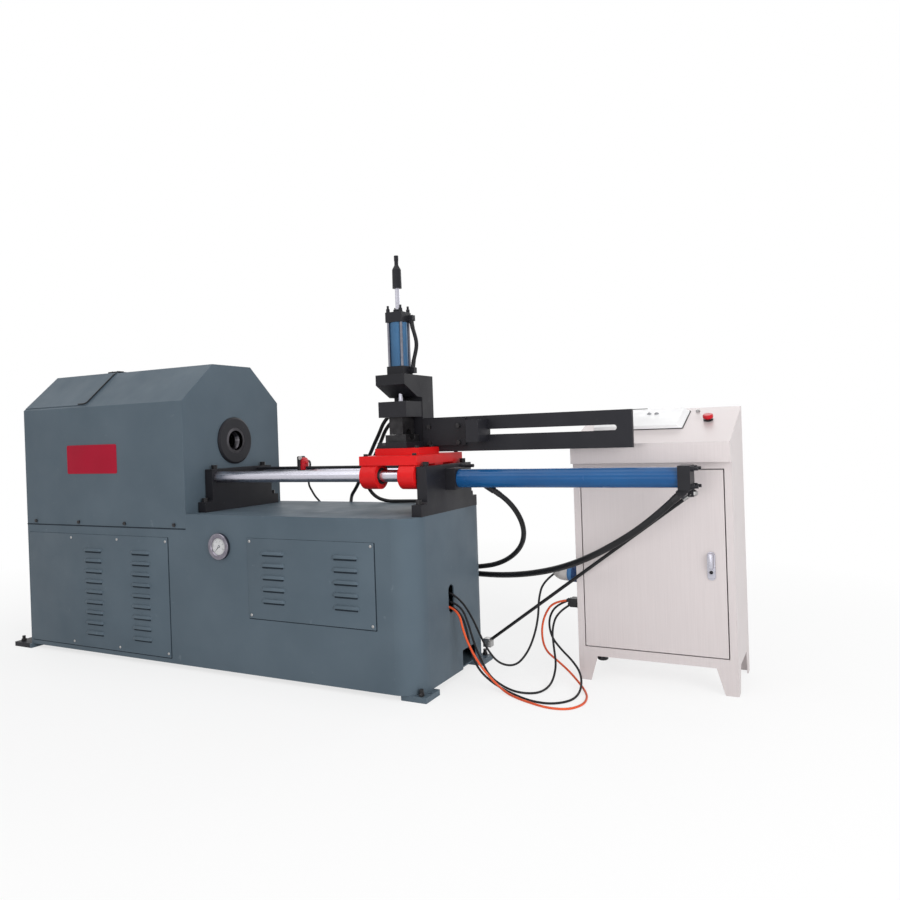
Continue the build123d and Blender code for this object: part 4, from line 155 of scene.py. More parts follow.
def set_floor():
    """Pale floor that keeps the shadow near the machine and runs out to white."""
    mesh = bpy.data.meshes.new("studio_floor")
    disc = bmesh.new()
    bmesh.ops.create_circle(disc, cap_ends=True, segments=96, radius=FLOOR_RADIUS)
    disc.to_mesh(mesh)
    disc.free()
    floor = bpy.data.objects.new("studio_floor", mesh)
    scene.collection.objects.link(floor)
    material = bpy.data.materials.new("studio_floor")
    material.use_nodes = True
    mesh.materials.append(material)
    tree = material.node_tree
    tree.nodes.clear()
    matt = add_node(tree, "BsdfDiffuse", Color=FLOOR_GREY)
    white = add_node(tree, "Emission", Color=WHITE, Strength=1)
    place = add_node(tree, "TexCoord")
    length = add_node(tree, "VectorMath", "LENGTH")
    fade = add_node(
        tree, "MapRange", From_Min=FADE_START, From_Max=FADE_END, To_Min=WHITE_BY_MACHINE, To_Max=1
    )
    share = add_node(tree, "Math", "MULTIPLY")
    tree.links.new(place.outputs["Object"], length.inputs[0])
    tree.links.new(length.outputs["Value"], fade.inputs["Value"])
    tree.links.new(seen_directly(tree), share.inputs[0])
    tree.links.new(fade.outputs["Result"], share.inputs[1])
    show_mix(tree, share.outputs[0], matt, white, "OutputMaterial")


scene.view_settings.view_transform = "Standard"
set_camera()
set_room()
set_floor()
softbox("right_softbox", (5.4, -2.6, 1.9), (0.8, 0, 0.6), (2.8, 2.2), 176, mirrored=False)
softbox("low_softbox", (1.2, -3.9, 0.8), (0.5, 0, 0.3), (3.2, 1.2), 17)
softbox("front_softbox", (-0.4, -3.2, 3.8), (0, 0, 0.9), (4.0, 1.6), 40)
softbox("left_softbox", (-4.4, 0.7, 2.4), (-0.9, 0.1, 0.8), (2.4, 2.4), 40, mirrored=False)
softbox("top_softbox", (0.4, -0.4, 4.6), (0.4, 0, 0), (5.0, 2.6), 52)
softbox("back_softbox", (1.0, 4.6, 3.2), (0.4, 0, 0.8), (4.0, 2.0), 52)

# Finishes, kept by name; noise mostly lies between its low and its high
FINISHES = {}
NOISE_LOW, NOISE_HIGH = 0.3, 0.7


def tone(red, green, blue):
    """A colour as it looks on a screen, 0 to 255, made linear."""
    parts = []
    for value in (red, green, blue):
        value /= 255
        parts.append(value / 12.92 if value <= 0.04045 else ((value + 0.055) / 1.055) ** 2.4)
    return (*parts, 1)


class Finish:
    """A material built up from noise on the piece's own coordinates."""

    def __init__(self, name, **sockets):
        material = bpy.data.materials.new(name)
        material.use_nodes = True
        FINISHES[name] = material
        self.tree = material.node_tree
        self.shader = self.tree.nodes["Principled BSDF"]
        set_sockets(self.shader, sockets)
        self.place = self.add("TexCoord").outputs["Object"]
        self.rounded = None

    def add(self, kind, operation=None, **sockets):
        return add_node(self.tree, kind, operation, **sockets)

    def link(self, output, socket):
        self.tree.links.new(output, socket)

    def noise(self, scale, detail, stretch=(1, 1, 1)):
        """Cloudy noise, drawn out into lines along the ways that have a small stretch."""
        mapping = self.add("Mapping", Scale=stretch)
        cloud = self.add("TexNoise", Scale=scale, Detail=detail)
        self.link(self.place, mapping.inputs["Vector"])
        self.link(mapping.outputs["Vector"], cloud.inputs["Vector"])
        return cloud.outputs["Fac"]

    def clouded(self, value, deep, pale):
        """Runs from one colour to the other as the noise rises."""
        node = self.add("ValToRGB")
        for element, place, colour in zip(
            node.color_ramp.elements, (NOISE_LOW, NOISE_HIGH), (deep, pale)
        ):
            element.position = place
            element.color = colour
        self.link(value, node.inputs["Fac"])
        return node.outputs["Color"]

    def spread(self, value, low, high, start=NOISE_LOW, end=NOISE_HIGH):
        """Runs from low to high as the value goes from start to end."""
        node = self.add("MapRange", From_Min=start, From_Max=end, To_Min=low, To_Max=high)
        self.link(value, node.inputs["Value"])
        return node.outputs["Result"]

    def product(self, first, second):
        node = self.add("Math", "MULTIPLY")
        self.link(first, node.inputs[0])
        self.link(second, node.inputs[1])
        return node.outputs[0]

    def left_of(self, limit):
        """1 where the piece lies to the left of a limit along X."""
        split = self.add("SeparateXYZ")
        below = self.add("Math", "LESS_THAN")
        below.inputs[1].default_value = limit
        self.link(self.place, split.inputs[0])
        self.link(split.outputs["X"], below.inputs[0])
        return below.outputs[0]

    def covered(self, under, over, share):
        """One colour over what lies under it, by a share."""
        node = self.add("Mix")
        node.data_type = "RGBA"
        node.inputs["B"].default_value = over
        self.link(share, node.inputs["Factor"])
        self.link(under, node.inputs["A"])
        return node.outputs["Result"]

    def worn_edges(self, width, amount):
        """Rounded edges, and a mask of where they are rubbed, broken up by noise; on the red coat the mask
        lays on a painted highlight.
        """
        bevel = self.add("Bevel", Radius=width)
        bevel.samples = 4
        self.rounded = bevel.outputs["Normal"]
        facing = self.add("VectorMath", "DOT_PRODUCT")
        self.link(self.rounded, facing.inputs[0])
        self.link(self.add("NewGeometry").outputs["Normal"], facing.inputs[1])
        edge = self.spread(facing.outputs["Value"], amount, 0, start=0.82, end=0.99)
        breaks = self.spread(self.noise(55, 6), 0, 1, start=0.38, end=0.62)
        return self.product(edge, breaks)

    def colour(self, value):
        self.link(value, self.shader.inputs["Base Color"])

    def roughness(self, value):
        self.link(value, self.shader.inputs["Roughness"])

    def bump(self, height, depth, strength):
        node = self.add("Bump", Strength=strength, Distance=depth)
        self.link(height, node.inputs["Height"])
        if self.rounded:
            self.link(self.rounded, node.inputs["Normal"])
        self.link(node.outputs["Normal"], self.shader.inputs["Normal"])


def enamel(name, pale, deep, bare, rough, shine, wear, black_left_of=None):
    """Sprayed machine enamel: orange peel, faint patches, rubbed edges and a few scuffs; on the red coat
    the rubbed edges are a painted highlight.
    """
    finish = Finish(name, Specular_IOR_Level=shine)
    coat = finish.clouded(finish.noise(3.5, 5), deep, pale)
    if black_left_of is not None:
        coat = finish.covered(coat, PAINT_BLACK[0], finish.left_of(black_left_of))
    scuffs = finish.spread(finish.noise(26, 8), 0, 0.4, start=0.70, end=0.78)
    coat = finish.covered(coat, bare, scuffs)
    coat = finish.covered(coat, bare, finish.worn_edges(width=0.0016, amount=wear))
    finish.colour(coat)
    finish.roughness(finish.spread(finish.noise(9, 6), rough - 0.06, rough + 0.08))
    finish.bump(finish.noise(420, 2), depth=0.0001, strength=0.4)


def brushed(name, pale, deep, rough, way, metal=1.0, streak=160, edge=0.0009):
    """Metal with fine lines along one way and slow stains across it."""
    finish = Finish(name, Metallic=metal)
    lines = finish.noise(streak, 3, way)
    stains = finish.spread(finish.noise(2.6, 5), 0, 0.35, start=0.5, end=0.75)
    body = finish.covered(finish.clouded(lines, deep, pale), deep, stains)
    if edge:
        body = finish.covered(body, pale, finish.worn_edges(width=edge, amount=0.5))
    finish.colour(body)
    finish.roughness(finish.spread(lines, rough - 0.06, rough + 0.06))
    finish.bump(lines, depth=0.00002, strength=0.15)


def blackened(name, pale, deep, bare, rough):
    """Oil-blackened steel with bright rubbed corners."""
    finish = Finish(name, Metallic=0.55, Specular_IOR_Level=0.4)
    body = finish.clouded(finish.noise(48, 6), deep, pale)
    finish.colour(finish.covered(body, bare, finish.worn_edges(width=0.0012, amount=0.75)))
    finish.roughness(finish.spread(finish.noise(70, 5), rough - 0.08, rough + 0.08))
    finish.bump(finish.noise(600, 3), depth=0.00004, strength=0.4)


def moulded(name, pale, deep, rough, shine=0.35, grain=900):
    """Plastic or rubber with a fine grain and handling marks."""
    finish = Finish(name, Specular_IOR_Level=shine)
    finish.colour(finish.clouded(finish.noise(14, 5), deep, pale))
    finish.roughness(finish.spread(finish.noise(30, 5), rough - 0.08, rough + 0.08))
    finish.bump(finish.noise(grain, 2), depth=0.00005, strength=0.5)


def cast(name, pale, deep, rough):
    """Painted casting with a sandy skin."""
    finish = Finish(name, Specular_IOR_Level=0.3)
    finish.colour(finish.clouded(finish.noise(11, 6), deep, pale))
    finish.roughness(finish.spread(finish.noise(40, 4), rough - 0.08, rough + 0.08))
    finish.bump(finish.noise(260, 5), depth=0.0004, strength=0.5)


def clear_glass(name, pale, deep):
    """Thin clear dial glass with faint wiping marks."""
    finish = Finish(name, Alpha=0.10, Specular_IOR_Level=0.6)
    finish.colour(finish.clouded(finish.noise(40, 4), deep, pale))
    finish.roughness(finish.spread(finish.noise(60, 5), 0.03, 0.12))


# Coats of paint are pale, deep and rubbed, and the red coat's rubbed colour is a lighter red, a painted
# highlight on its edges; lines of brushed metal run up, along X, along Y or round X
PAINT_GREY = (tone(84, 97, 107), tone(76, 89, 99), tone(108, 120, 130))
PAINT_BLACK = (tone(32, 32, 37), tone(24, 24, 28), tone(84, 82, 86))
# The red coat's third colour, a lighter red on the edges, is painted highlight.
PAINT_RED = (tone(212, 26, 28), tone(192, 18, 22), tone(232, 80, 68))
PAINT_CRIMSON = (tone(168, 10, 46), tone(152, 6, 38), tone(184, 62, 80))
PAINT_BLUE = (tone(22, 84, 137), tone(16, 71, 122), tone(64, 114, 156))
PAINT_TOWER_BLUE = (tone(66, 106, 142), tone(54, 90, 124), tone(104, 136, 162))
LINES_UP = (1, 1, 0.02)
LINES_ALONG = (0.06, 1, 1)
LINES_ACROSS = (1, 0.08, 1)
LINES_ROUND = (1, 0.06, 0.06)
NO_LINES = (1, 1, 1)
# The base is flush with the hood on the left, so only its foot plates lie beyond
FEET_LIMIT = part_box("hood_shell")[0].x - 0.5 * MM

enamel("machine_paint", *PAINT_GREY, rough=0.48, shine=0.2, wear=0.35)
enamel("base_paint", *PAINT_GREY, rough=0.48, shine=0.2, wear=0.35, black_left_of=FEET_LIMIT)
enamel("black_paint", *PAINT_BLACK, rough=0.48, shine=0.24, wear=0.5)
enamel("red_paint", *PAINT_RED, rough=0.40, shine=0.22, wear=0.4)
enamel("crimson_plate", *PAINT_CRIMSON, rough=0.36, shine=0.12, wear=0.25)
enamel("blue_paint", *PAINT_BLUE, rough=0.22, shine=0.28, wear=0.3)
enamel("tower_blue", *PAINT_TOWER_BLUE, rough=0.3, shine=0.24, wear=0.3)
brushed(
    "stainless_sheet", tone(204, 196, 196), tone(198, 190, 190), 0.44, LINES_UP, metal=0.4, streak=300
)
brushed("chrome_steel", tone(197, 196, 206), tone(187, 186, 196), 0.3, LINES_ALONG, streak=240, edge=0)
brushed("dark_chrome", tone(138, 138, 147), tone(118, 118, 127), 0.18, NO_LINES, streak=60, edge=0)
brushed("bright_steel", tone(182, 181, 180), tone(150, 149, 149), 0.32, LINES_ACROSS)
brushed("burnished_bore", tone(96, 94, 98), tone(52, 51, 54), 0.22, LINES_ROUND)
brushed("gauge_rim", tone(136, 132, 142), tone(114, 110, 120), 0.2, NO_LINES, streak=60, edge=0)
brushed("bronze", tone(190, 148, 86), tone(160, 120, 66), 0.34, LINES_ROUND)
blackened("black_oxide", tone(50, 49, 51), tone(34, 33, 35), tone(140, 137, 137), 0.4)
cast("cast_iron", tone(70, 72, 75), tone(52, 54, 57), 0.62)
moulded("black_rubber", tone(28, 28, 31), tone(19, 19, 21), 0.45, shine=0.28)
moulded("orange_rubber", tone(222, 92, 48), tone(200, 72, 38), 0.42)
# Dark bluish coat: painted shadow under the louvre lips and round the covers, and the dark joint under the
# hood's skirt.
moulded("shadow_and_joint_dark", tone(42, 50, 58), tone(34, 42, 49), 0.7, shine=0.1)
moulded("black_plastic", tone(38, 38, 41), tone(26, 26, 28), 0.46)
moulded("red_plastic", tone(196, 24, 38), tone(168, 14, 26), 0.3)
moulded("grey_plastic", tone(150, 152, 155), tone(132, 134, 138), 0.5)
moulded("pale_plastic", tone(196, 192, 190), tone(178, 174, 172), 0.42)
moulded("white_panel", tone(230, 230, 231), tone(222, 222, 223), 0.4)
moulded("plug_blue", tone(72, 122, 172), tone(54, 100, 152), 0.4)
moulded("plug_ring_blue", tone(38, 74, 124), tone(26, 56, 102), 0.4)
moulded("dial_white", tone(206, 204, 206), tone(192, 190, 192), 0.5, grain=1600)
moulded("dial_ink", tone(34, 34, 38), tone(20, 20, 24), 0.5, grain=1600)
clear_glass("gauge_glass", tone(244, 246, 247), tone(226, 232, 234))
OWN_FINISH = {
    "base_frame": "base_paint",
    "forming_head": "burnished_bore",
    "clamp_cylinder_tube": "tower_blue",
}


def dress_frame():
    """Every carried-over node takes its own finish, or that of its slot in the record."""
    for part in frame["record"]["subparts"]:
        node = frame["nodes"][part["node"]]
        for slot in node.material_slots:
            slot.material = FINISHES[OWN_FINISH.get(part["node"], part["material_slot"])]


dress_frame()

# Shapes of the new pieces, in millimetres
CREASE = math.radians(35)
MERGE = 0.0005
TO_FRONT = Matrix.Rotation(math.pi / 2, 4, "X")
TO_LEFT = Matrix.Rotation(-math.pi / 2, 4, "Y")
FRONTWARDS = (0, -1, 0)
LEFTWARDS = (-1, 0, 0)
RIGHTWARDS = (1, 0, 0)
UPWARDS = (0, 0, 1)
DOWNWARDS = (0, 0, -1)


def box_mm(node):
    """Lowest and highest corner of a node."""
    low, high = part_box(node)
    return low / MM, high / MM


def standing(spot, axis):
    """Carries a shape made round +Z to a spot, with its axis turned."""
    turn = Vector(UPWARDS).rotation_difference(Vector(axis))
    return Matrix.Translation(spot) @ turn.to_matrix().to_4x4()


def rectangle(left, right, foot, top):
    """Corners of a rectangle."""
    return [(left, foot), (right, foot), (right, top), (left, top)]


def ring(low, high, inner, outer, soft):
    """Outline of a flat ring with softened outer corners, as (along, radius) points."""
    return [
        (low, inner), (low, outer - soft), (low + soft, outer), (high - soft, outer),
        (high, outer - soft), (high, inner), (low, inner),
    ]


def newer(items, known):
    """Edges or faces that don't start at one of the known corners."""
    return [item for item in items if item.verts[0] not in known]


class Blank:
    """A piece in the making: shapes are added to it, then it is finished."""

    def __init__(self):
        self.mesh = bmesh.new()

    def fresh(self, known):
        return [vert for vert in self.mesh.verts if vert not in known]

    def settle(self, known, place):
        """Closes the open joins of a new shape and carries it to its place."""
        bmesh.ops.remove_doubles(self.mesh, verts=self.fresh(known), dist=MERGE)
        bmesh.ops.transform(self.mesh, matrix=place, verts=self.fresh(known))
        return self

    def soften(self, geom, offset, segments, affect="EDGES"):
        bmesh.ops.bevel(
            self.mesh, geom=geom, offset=offset, affect=affect, segments=segments, profile=0.5, material=-1
        )

    def turn(self, outline, spot, axis, steps):
        """Spins an outline of (along, radius) points round an axis through a spot."""
        known = set(self.mesh.verts)
        line = [self.mesh.verts.new((radius, 0, along)) for along, radius in outline]
        edges = [self.mesh.edges.new(pair) for pair in zip(line, line[1:])]
        bmesh.ops.spin(
            self.mesh, geom=line + edges, cent=(0, 0, 0), axis=UPWARDS,
            angle=math.tau, steps=steps, use_merge=True,
        )
        return self.settle(known, standing(spot, axis))

    def nut(self, spot, axis, radius, start, end):
        """Hexagon with chamfered corners between two distances along its axis."""
        cut = 0.12 * radius
        outline = [(start, 0), (start, radius - cut), (start + cut, radius)]
        outline += [(end - cut, radius), (end, radius - cut), (end, 0)]
        return self.turn(outline, spot, axis, 6)

    def block(self, low, high, soft):
        """Box with rounded edges."""
        known = set(self.mesh.verts)
        bmesh.ops.create_cube(self.mesh, size=1)
        low, high = Vector(low), Vector(high)
        size = Matrix.Diagonal((*(high - low), 1))
        self.settle(known, Matrix.Translation((low + high) / 2) @ size)
        self.soften(newer(self.mesh.edges, known), soft, segments=3)
        return self

    def slab(self, corners, place, thickness, rounding, soft, rim=0):
        """Flat outline with rounded corners, raised to a thickness; its top is softened or has a rim."""
        known = set(self.mesh.verts)
        verts = [self.mesh.verts.new((x, y, 0)) for x, y in corners]
        self.mesh.faces.new(verts)
        self.soften(verts, rounding, segments=7, affect="VERTICES")
        foot = newer(self.mesh.faces, known)
        raised = bmesh.ops.extrude_face_region(self.mesh, geom=foot)["geom"]
        top = [item for item in raised if isinstance(item, bmesh.types.BMFace)]
        bmesh.ops.translate(self.mesh, verts=top[0].verts[:], vec=(0, 0, thickness))
        if rim:
            bmesh.ops.inset_individual(self.mesh, faces=top, thickness=rim, depth=0)
            bmesh.ops.inset_individual(self.mesh, faces=top, thickness=soft, depth=-soft)
        else:
            self.soften(top[0].edges[:], soft, segments=2)
        return self.settle(known, place)

    def take_in(self, curve):
        """Adds the mesh of a curve and removes the curve."""
        holder = bpy.data.objects.new(curve.name, curve)
        scene.collection.objects.link(holder)
        mesh = bpy.data.meshes.new_from_object(holder)
        self.mesh.from_mesh(mesh)
        bpy.data.meshes.remove(mesh)
        bpy.data.objects.remove(holder)
        bpy.data.curves.remove(curve)

    def bead(self, points, radius, shares=None, closed=False):
        """Round bar through points, with its own share of the radius at each one."""
        known = set(self.mesh.verts)
        curve = bpy.data.curves.new("bead_line", "CURVE")
        curve.dimensions = "3D"
        curve.bevel_depth = radius
        curve.bevel_resolution = 6
        curve.use_fill_caps = True
        spline = curve.splines.new("POLY")
        spline.points.add(len(points) - 1)
        for number, point in enumerate(spline.points):
            point.co = (*points[number], 1)
            point.radius = shares[number] if shares else 1
        spline.use_cyclic_u = closed
        self.take_in(curve)
        return self.settle(known, Matrix.Identity(4))

    def letters(self, text, height, place):
        """Raised characters, centred on a place."""
        known = set(self.mesh.verts)
        curve = bpy.data.curves.new("dial_number", "FONT")
        curve.body = text
        curve.size = height
        curve.extrude = 0.1
        curve.align_x = "CENTER"
        curve.align_y = "CENTER"
        self.take_in(curve)
        return self.settle(known, place)

    def finish(self, name, finish, slot=None, body="machine_base", instead_of=None):
        """The piece with its faces outwards, its finish, and the body that it moves with."""
        mesh = self.mesh
        bmesh.ops.recalc_face_normals(mesh, faces=mesh.faces)
        for face in mesh.faces:
            face.smooth = True
        for edge in mesh.edges:
            edge.smooth = edge.calc_face_angle(math.pi) < CREASE
        bmesh.ops.scale(mesh, vec=(MM, MM, MM), verts=mesh.verts)
        data = bpy.data.meshes.new(name)
        mesh.to_mesh(data)
        mesh.free()
        data.materials.append(FINISHES[finish])
        piece = bpy.data.objects.new(name, data)
        scene.collection.objects.link(piece)
        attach(piece, body)
        if instead_of:
            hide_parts(instead_of)
        return piece


# Hood: bare plate on its front, seal and latch of its lid, strip under its skirt
HOOD_EAVE = 1208
HOOD_RIDGE = 1383
RIDGE_HALF = 128.5
LID_RISE = 3
PLATE_START, PLATE_END = 323, 672
PLATE_FOOT, PLATE_TOP = 885, 1024
SEAL_RADIUS = 3.4
SEAL_SUNK = 0.3
SEAL_FOOT = ((54, 19), (20, 19), (9, 21), (3, 26), (0, 34))


def hood_plate():
    """Bare plate with a raised rim on the front of the hood."""
    low = box_mm("hood_shell")[0]
    corners = rectangle(low.x + PLATE_START, low.x + PLATE_END, PLATE_FOOT, PLATE_TOP)
    place = Matrix.Translation((0, low.y, 0)) @ TO_FRONT
    plate = Blank().slab(corners, place, thickness=1.6, rounding=9, soft=0.5, rim=5)
    plate.finish("hood_plate", "crimson_plate", "red_paint")


def lid_seal():
    """Rubber bead up the lid's right edge and over the ridge, turned in at its foot."""
    front = box_mm("hood_shell")[0].y
    edge = box_mm("hood_lid")[1].x - SEAL_RADIUS
    rise = Vector((0, -RIDGE_HALF - front, HOOD_RIDGE - HOOD_EAVE))
    slope = rise.normalized()
    lift = LID_RISE + (1 - SEAL_SUNK) * SEAL_RADIUS

    def on_slope(back, up):
        return Vector((edge - back, front, HOOD_EAVE)) + slope * up + Vector((0, -slope.z, slope.y)) * lift

    points = [on_slope(back, up) for back, up in SEAL_FOOT]
    points += [on_slope(0, rise.length * share) for share in (0.5, 0.94)]
    reach = RIDGE_HALF - 12
    points += [Vector((edge, y, HOOD_RIDGE + lift)) for y in (-reach, 0, reach)]
    Blank().bead(points, SEAL_RADIUS).finish("lid_seal", "black_rubber", "black_rubber", "hood_lid")


def lid_latch():
    """Flat latch with two studs across the lid's right edge, on the ridge."""
    edge = box_mm("hood_lid")[1].x
    front, depth = -RIDGE_HALF + 4, 30
    foot, top = HOOD_RIDGE + LID_RISE + 0.2, HOOD_RIDGE + LID_RISE + 7
    latch = Blank().block((edge - 72, front, foot), (edge + 12, front + depth, top), soft=2)
    stud = [(0, 0), (0, 6), (1.6, 5.4), (2.8, 3.2), (3.2, 0)]
    for back in (56, 16):
        latch.turn(stud, (edge - back, front + depth / 2, top), UPWARDS, 24)
    latch.finish("lid_latch", "black_oxide", "black_oxide", "hood_lid")


def skirt_seal():
    """Dark strip in the joint under the hood's skirt, round three sides."""
    low, high = box_mm("hood_shell")
    foot, top = low.z - 6, low.z - 0.5
    proud, sunk = 1.2, 1
    left, front, back, end = low.x - proud, low.y - proud, high.y + proud, high.x - 3
    inside, behind, before = low.x + sunk, low.y + sunk, high.y - sunk
    corners = [
        (left, front), (end, front), (end, behind), (inside, behind),
        (inside, before), (end, before), (end, back), (left, back),
    ]
    place = Matrix.Translation((0, 0, foot))
    seal = Blank().slab(corners, place, thickness=top - foot, rounding=0.5, soft=0.4)
    seal.finish("skirt_seal", "shadow_and_joint_dark", "black_rubber")


# Base: louvred covers with the painted shadow round their edges and under their lips, their screws, and
# the pressure gauge
COVER_SHEET = 2
LOUVRE_PITCH = 50
LOUVRE_HALF = 62.5
LIP_SHADOW_HALF = LOUVRE_HALF - 7
SCOOP_RISE = 15
SCOOP_DEPTH = 10
SCOOP_TAPER = ((0, 0.06), (3, 0.5), (8, 0.85), (16, 1))
SCREW_INSET = 14


class Cover(NamedTuple):
    """A louvred cover, with the shift and lift of its two columns of louvres from its middle."""

    left: float
    right: float
    foot: float
    top: float
    shift: float
    lift: float
    spacing: float
    rows: int

    def lips(self):
        """The middle of each louvre's lip."""
        middle = (self.left + self.right) / 2 + self.shift
        level = (self.foot + self.top) / 2 + self.lift
        for column in (-0.5, 0.5):
            for row in range(self.rows):
                yield middle + column * self.spacing, level + (row - (self.rows - 1) / 2) * LOUVRE_PITCH


def covers():
    """The left cover under the hood and the right one under the bed."""
    low, high = box_mm("louvre_covers")
    left = Cover(low.x, low.x + 972, low.z, low.z + 546, shift=148, lift=-7, spacing=322, rows=9)
    right = Cover(high.x - 638, high.x, high.z - 340, high.z, shift=0, lift=4, spacing=366, rows=5)
    return left, right


def add_scoop(sheet, x, lip, front):
    """Rounded scoop of a louvre, cut off level at its lip."""
    known = set(sheet.mesh.verts)
    left = [((x - LOUVRE_HALF + run, front, lip), share) for run, share in SCOOP_TAPER]
    right = [((x + LOUVRE_HALF - run, front, lip), share) for run, share in SCOOP_TAPER[::-1]]
    spots, shares = zip(*left, *right)
    sheet.bead(spots, SCOOP_DEPTH, shares)
    middle = Vector((x, front, lip))
    bmesh.ops.scale(
        sheet.mesh, vec=(1, 1, SCOOP_RISE / SCOOP_DEPTH), verts=sheet.fresh(known),
        space=Matrix.Translation(-middle),
    )
    bar = sheet.fresh(known) + newer(sheet.mesh.edges, known) + newer(sheet.mesh.faces, known)
    bmesh.ops.bisect_plane(sheet.mesh, geom=bar, plane_co=middle, plane_no=UPWARDS, clear_inner=True)
    bmesh.ops.remove_doubles(sheet.mesh, verts=sheet.fresh(known), dist=2 * MERGE)
    rim = [edge for edge in newer(sheet.mesh.edges, known) if edge.is_boundary]
    bmesh.ops.edgeloop_fill(sheet.mesh, edges=rim)


def louvre_covers():
    """Two sheets with pressed louvres, and dark strips under the lips and round the edges that are painted
    shadow.
    """
    wall = box_mm("louvre_covers")[1].y
    front = wall - COVER_SHEET
    on_wall = Matrix.Translation((0, wall, 0)) @ TO_FRONT
    on_sheet = Matrix.Translation((0, front, 0)) @ TO_FRONT
    sheets, lip_shadows, edge_shadows = Blank(), Blank(), Blank()
    for cover in covers():
        sheet = rectangle(cover.left, cover.right, cover.foot, cover.top)
        sheets.slab(sheet, on_wall, thickness=COVER_SHEET, rounding=3, soft=0.6)
        # A dark strip round the cover that reaches further right and down: painted shadow of the raised
        # cover.
        edge_shadow = rectangle(cover.left - 1, cover.right + 5, cover.foot - 4, cover.top + 1)
        edge_shadows.slab(edge_shadow, on_wall, thickness=0.6, rounding=4, soft=0.2)
        for x, lip in cover.lips():
            add_scoop(sheets, x, lip, front)
            # A dark strip under each lip: painted shadow of the scoop.
            slot = rectangle(x - LIP_SHADOW_HALF, x + LIP_SHADOW_HALF, lip - 9, lip + 3)
            lip_shadows.slab(slot, on_sheet, thickness=0.4, rounding=3, soft=0.1)
    node = "louvre_covers"
    sheets.finish("louvre_sheets", "machine_paint", "machine_paint", instead_of=node)
    lip_shadows.finish("louvre_lip_shadows", "shadow_and_joint_dark", "black_paint", instead_of=node)
    edge_shadows.finish("cover_edge_shadows", "shadow_and_joint_dark", "black_paint", instead_of=node)


def cover_screws():
    """Round-headed screws by the edges of the covers."""
    front = box_mm("louvre_covers")[1].y - COVER_SHEET
    left, right = covers()
    columns = [left.right - back for back in (654, 331, SCREW_INSET)]
    places = [(x, z) for x in columns for z in (left.foot + 18, left.top - 19)]
    columns = (right.left + SCREW_INSET, right.right - SCREW_INSET)
    places += [(x, z) for x in columns for z in (right.foot + SCREW_INSET, right.top - SCREW_INSET)]
    head = [(0, 0), (0, 6.2), (1.2, 6), (2.6, 4.4), (3.0, 2.8), (1.6, 2.4), (1.6, 0)]
    screws = Blank()
    for x, z in places:
        screws.turn(head, (x, front, z), FRONTWARDS, 20)
    screws.finish("cover_screws", "bright_steel", "bright_steel")


DIAL_SUNK = 7
DIAL_SHEET = 0.4
DIAL_MARKS = 28
MARK_START, MARK_STEP = 225, 10
LONG_MARK_EVERY = 5
MARK_REACH = 34.5
NUMBER_REACH = 23
NUMBER_HEIGHT = 7.5


def dial_marks(face):
    """Short and long marks round the dial, and a number by each long one."""
    on_dial = Matrix.Translation(face + Vector(FRONTWARDS) * DIAL_SHEET) @ TO_FRONT
    over_dial = Matrix.Translation(face + Vector(FRONTWARDS) * (DIAL_SHEET + 0.05)) @ TO_FRONT
    marks = Blank()
    for number in range(DIAL_MARKS):
        angle = math.radians(MARK_START + MARK_STEP * number)
        is_long = number % LONG_MARK_EVERY == 0
        inner, half = (28.5, 0.7) if is_long else (31, 0.4)
        place = on_dial @ Matrix.Rotation(-angle, 4, "Z")
        mark = rectangle(-half, half, inner, MARK_REACH)
        marks.slab(mark, place, thickness=0.15, rounding=0.2, soft=0.03)
        if is_long:
            spot = Vector((math.sin(angle), math.cos(angle), 0)) * NUMBER_REACH
            marks.letters(str(number), NUMBER_HEIGHT, over_dial @ Matrix.Translation(spot))
    marks.finish("gauge_marks", "dial_ink", "black_plastic")


def gauge():
    """Stepped bezel, white dial with its marks, and a domed glass."""
    low, high = box_mm("gauge_case")
    face = Vector(((low.x + high.x) / 2, low.y + DIAL_SUNK, (low.z + high.z) / 2))
    bezel = [
        (-6, 56.05), (-6, 57.6), (5.0, 57.6), (7.2, 56.8), (8.3, 55.0), (7.9, 52.8), (7.3, 50.4),
        (8.2, 48.0), (8.8, 44.5), (8.0, 41.0), (6.0, 38.0), (4.4, 36.6), (3.2, 36.6), (3.2, 49.9),
        (7.05, 49.9), (7.05, 56.05), (-6, 56.05),
    ]
    rim = Blank().turn(bezel, face, FRONTWARDS, 64)
    rim.finish("gauge_bezel", "gauge_rim", "chrome_steel")
    dial = Blank().turn(ring(0, DIAL_SHEET, 3.1, 44, soft=0.1), face, FRONTWARDS, 48)
    dial.finish("gauge_dial", "dial_white", "white_panel")
    dial_marks(face)
    window = [(4.9, 0), (4.3, 22), (3.1, 37), (2.5, 37), (3.7, 22), (4.3, 0)]
    Blank().turn(window, face, FRONTWARDS, 48).finish("gauge_window", "gauge_glass")


# Guides: limit switch and rod wipers
BEARING_LENGTH = 74


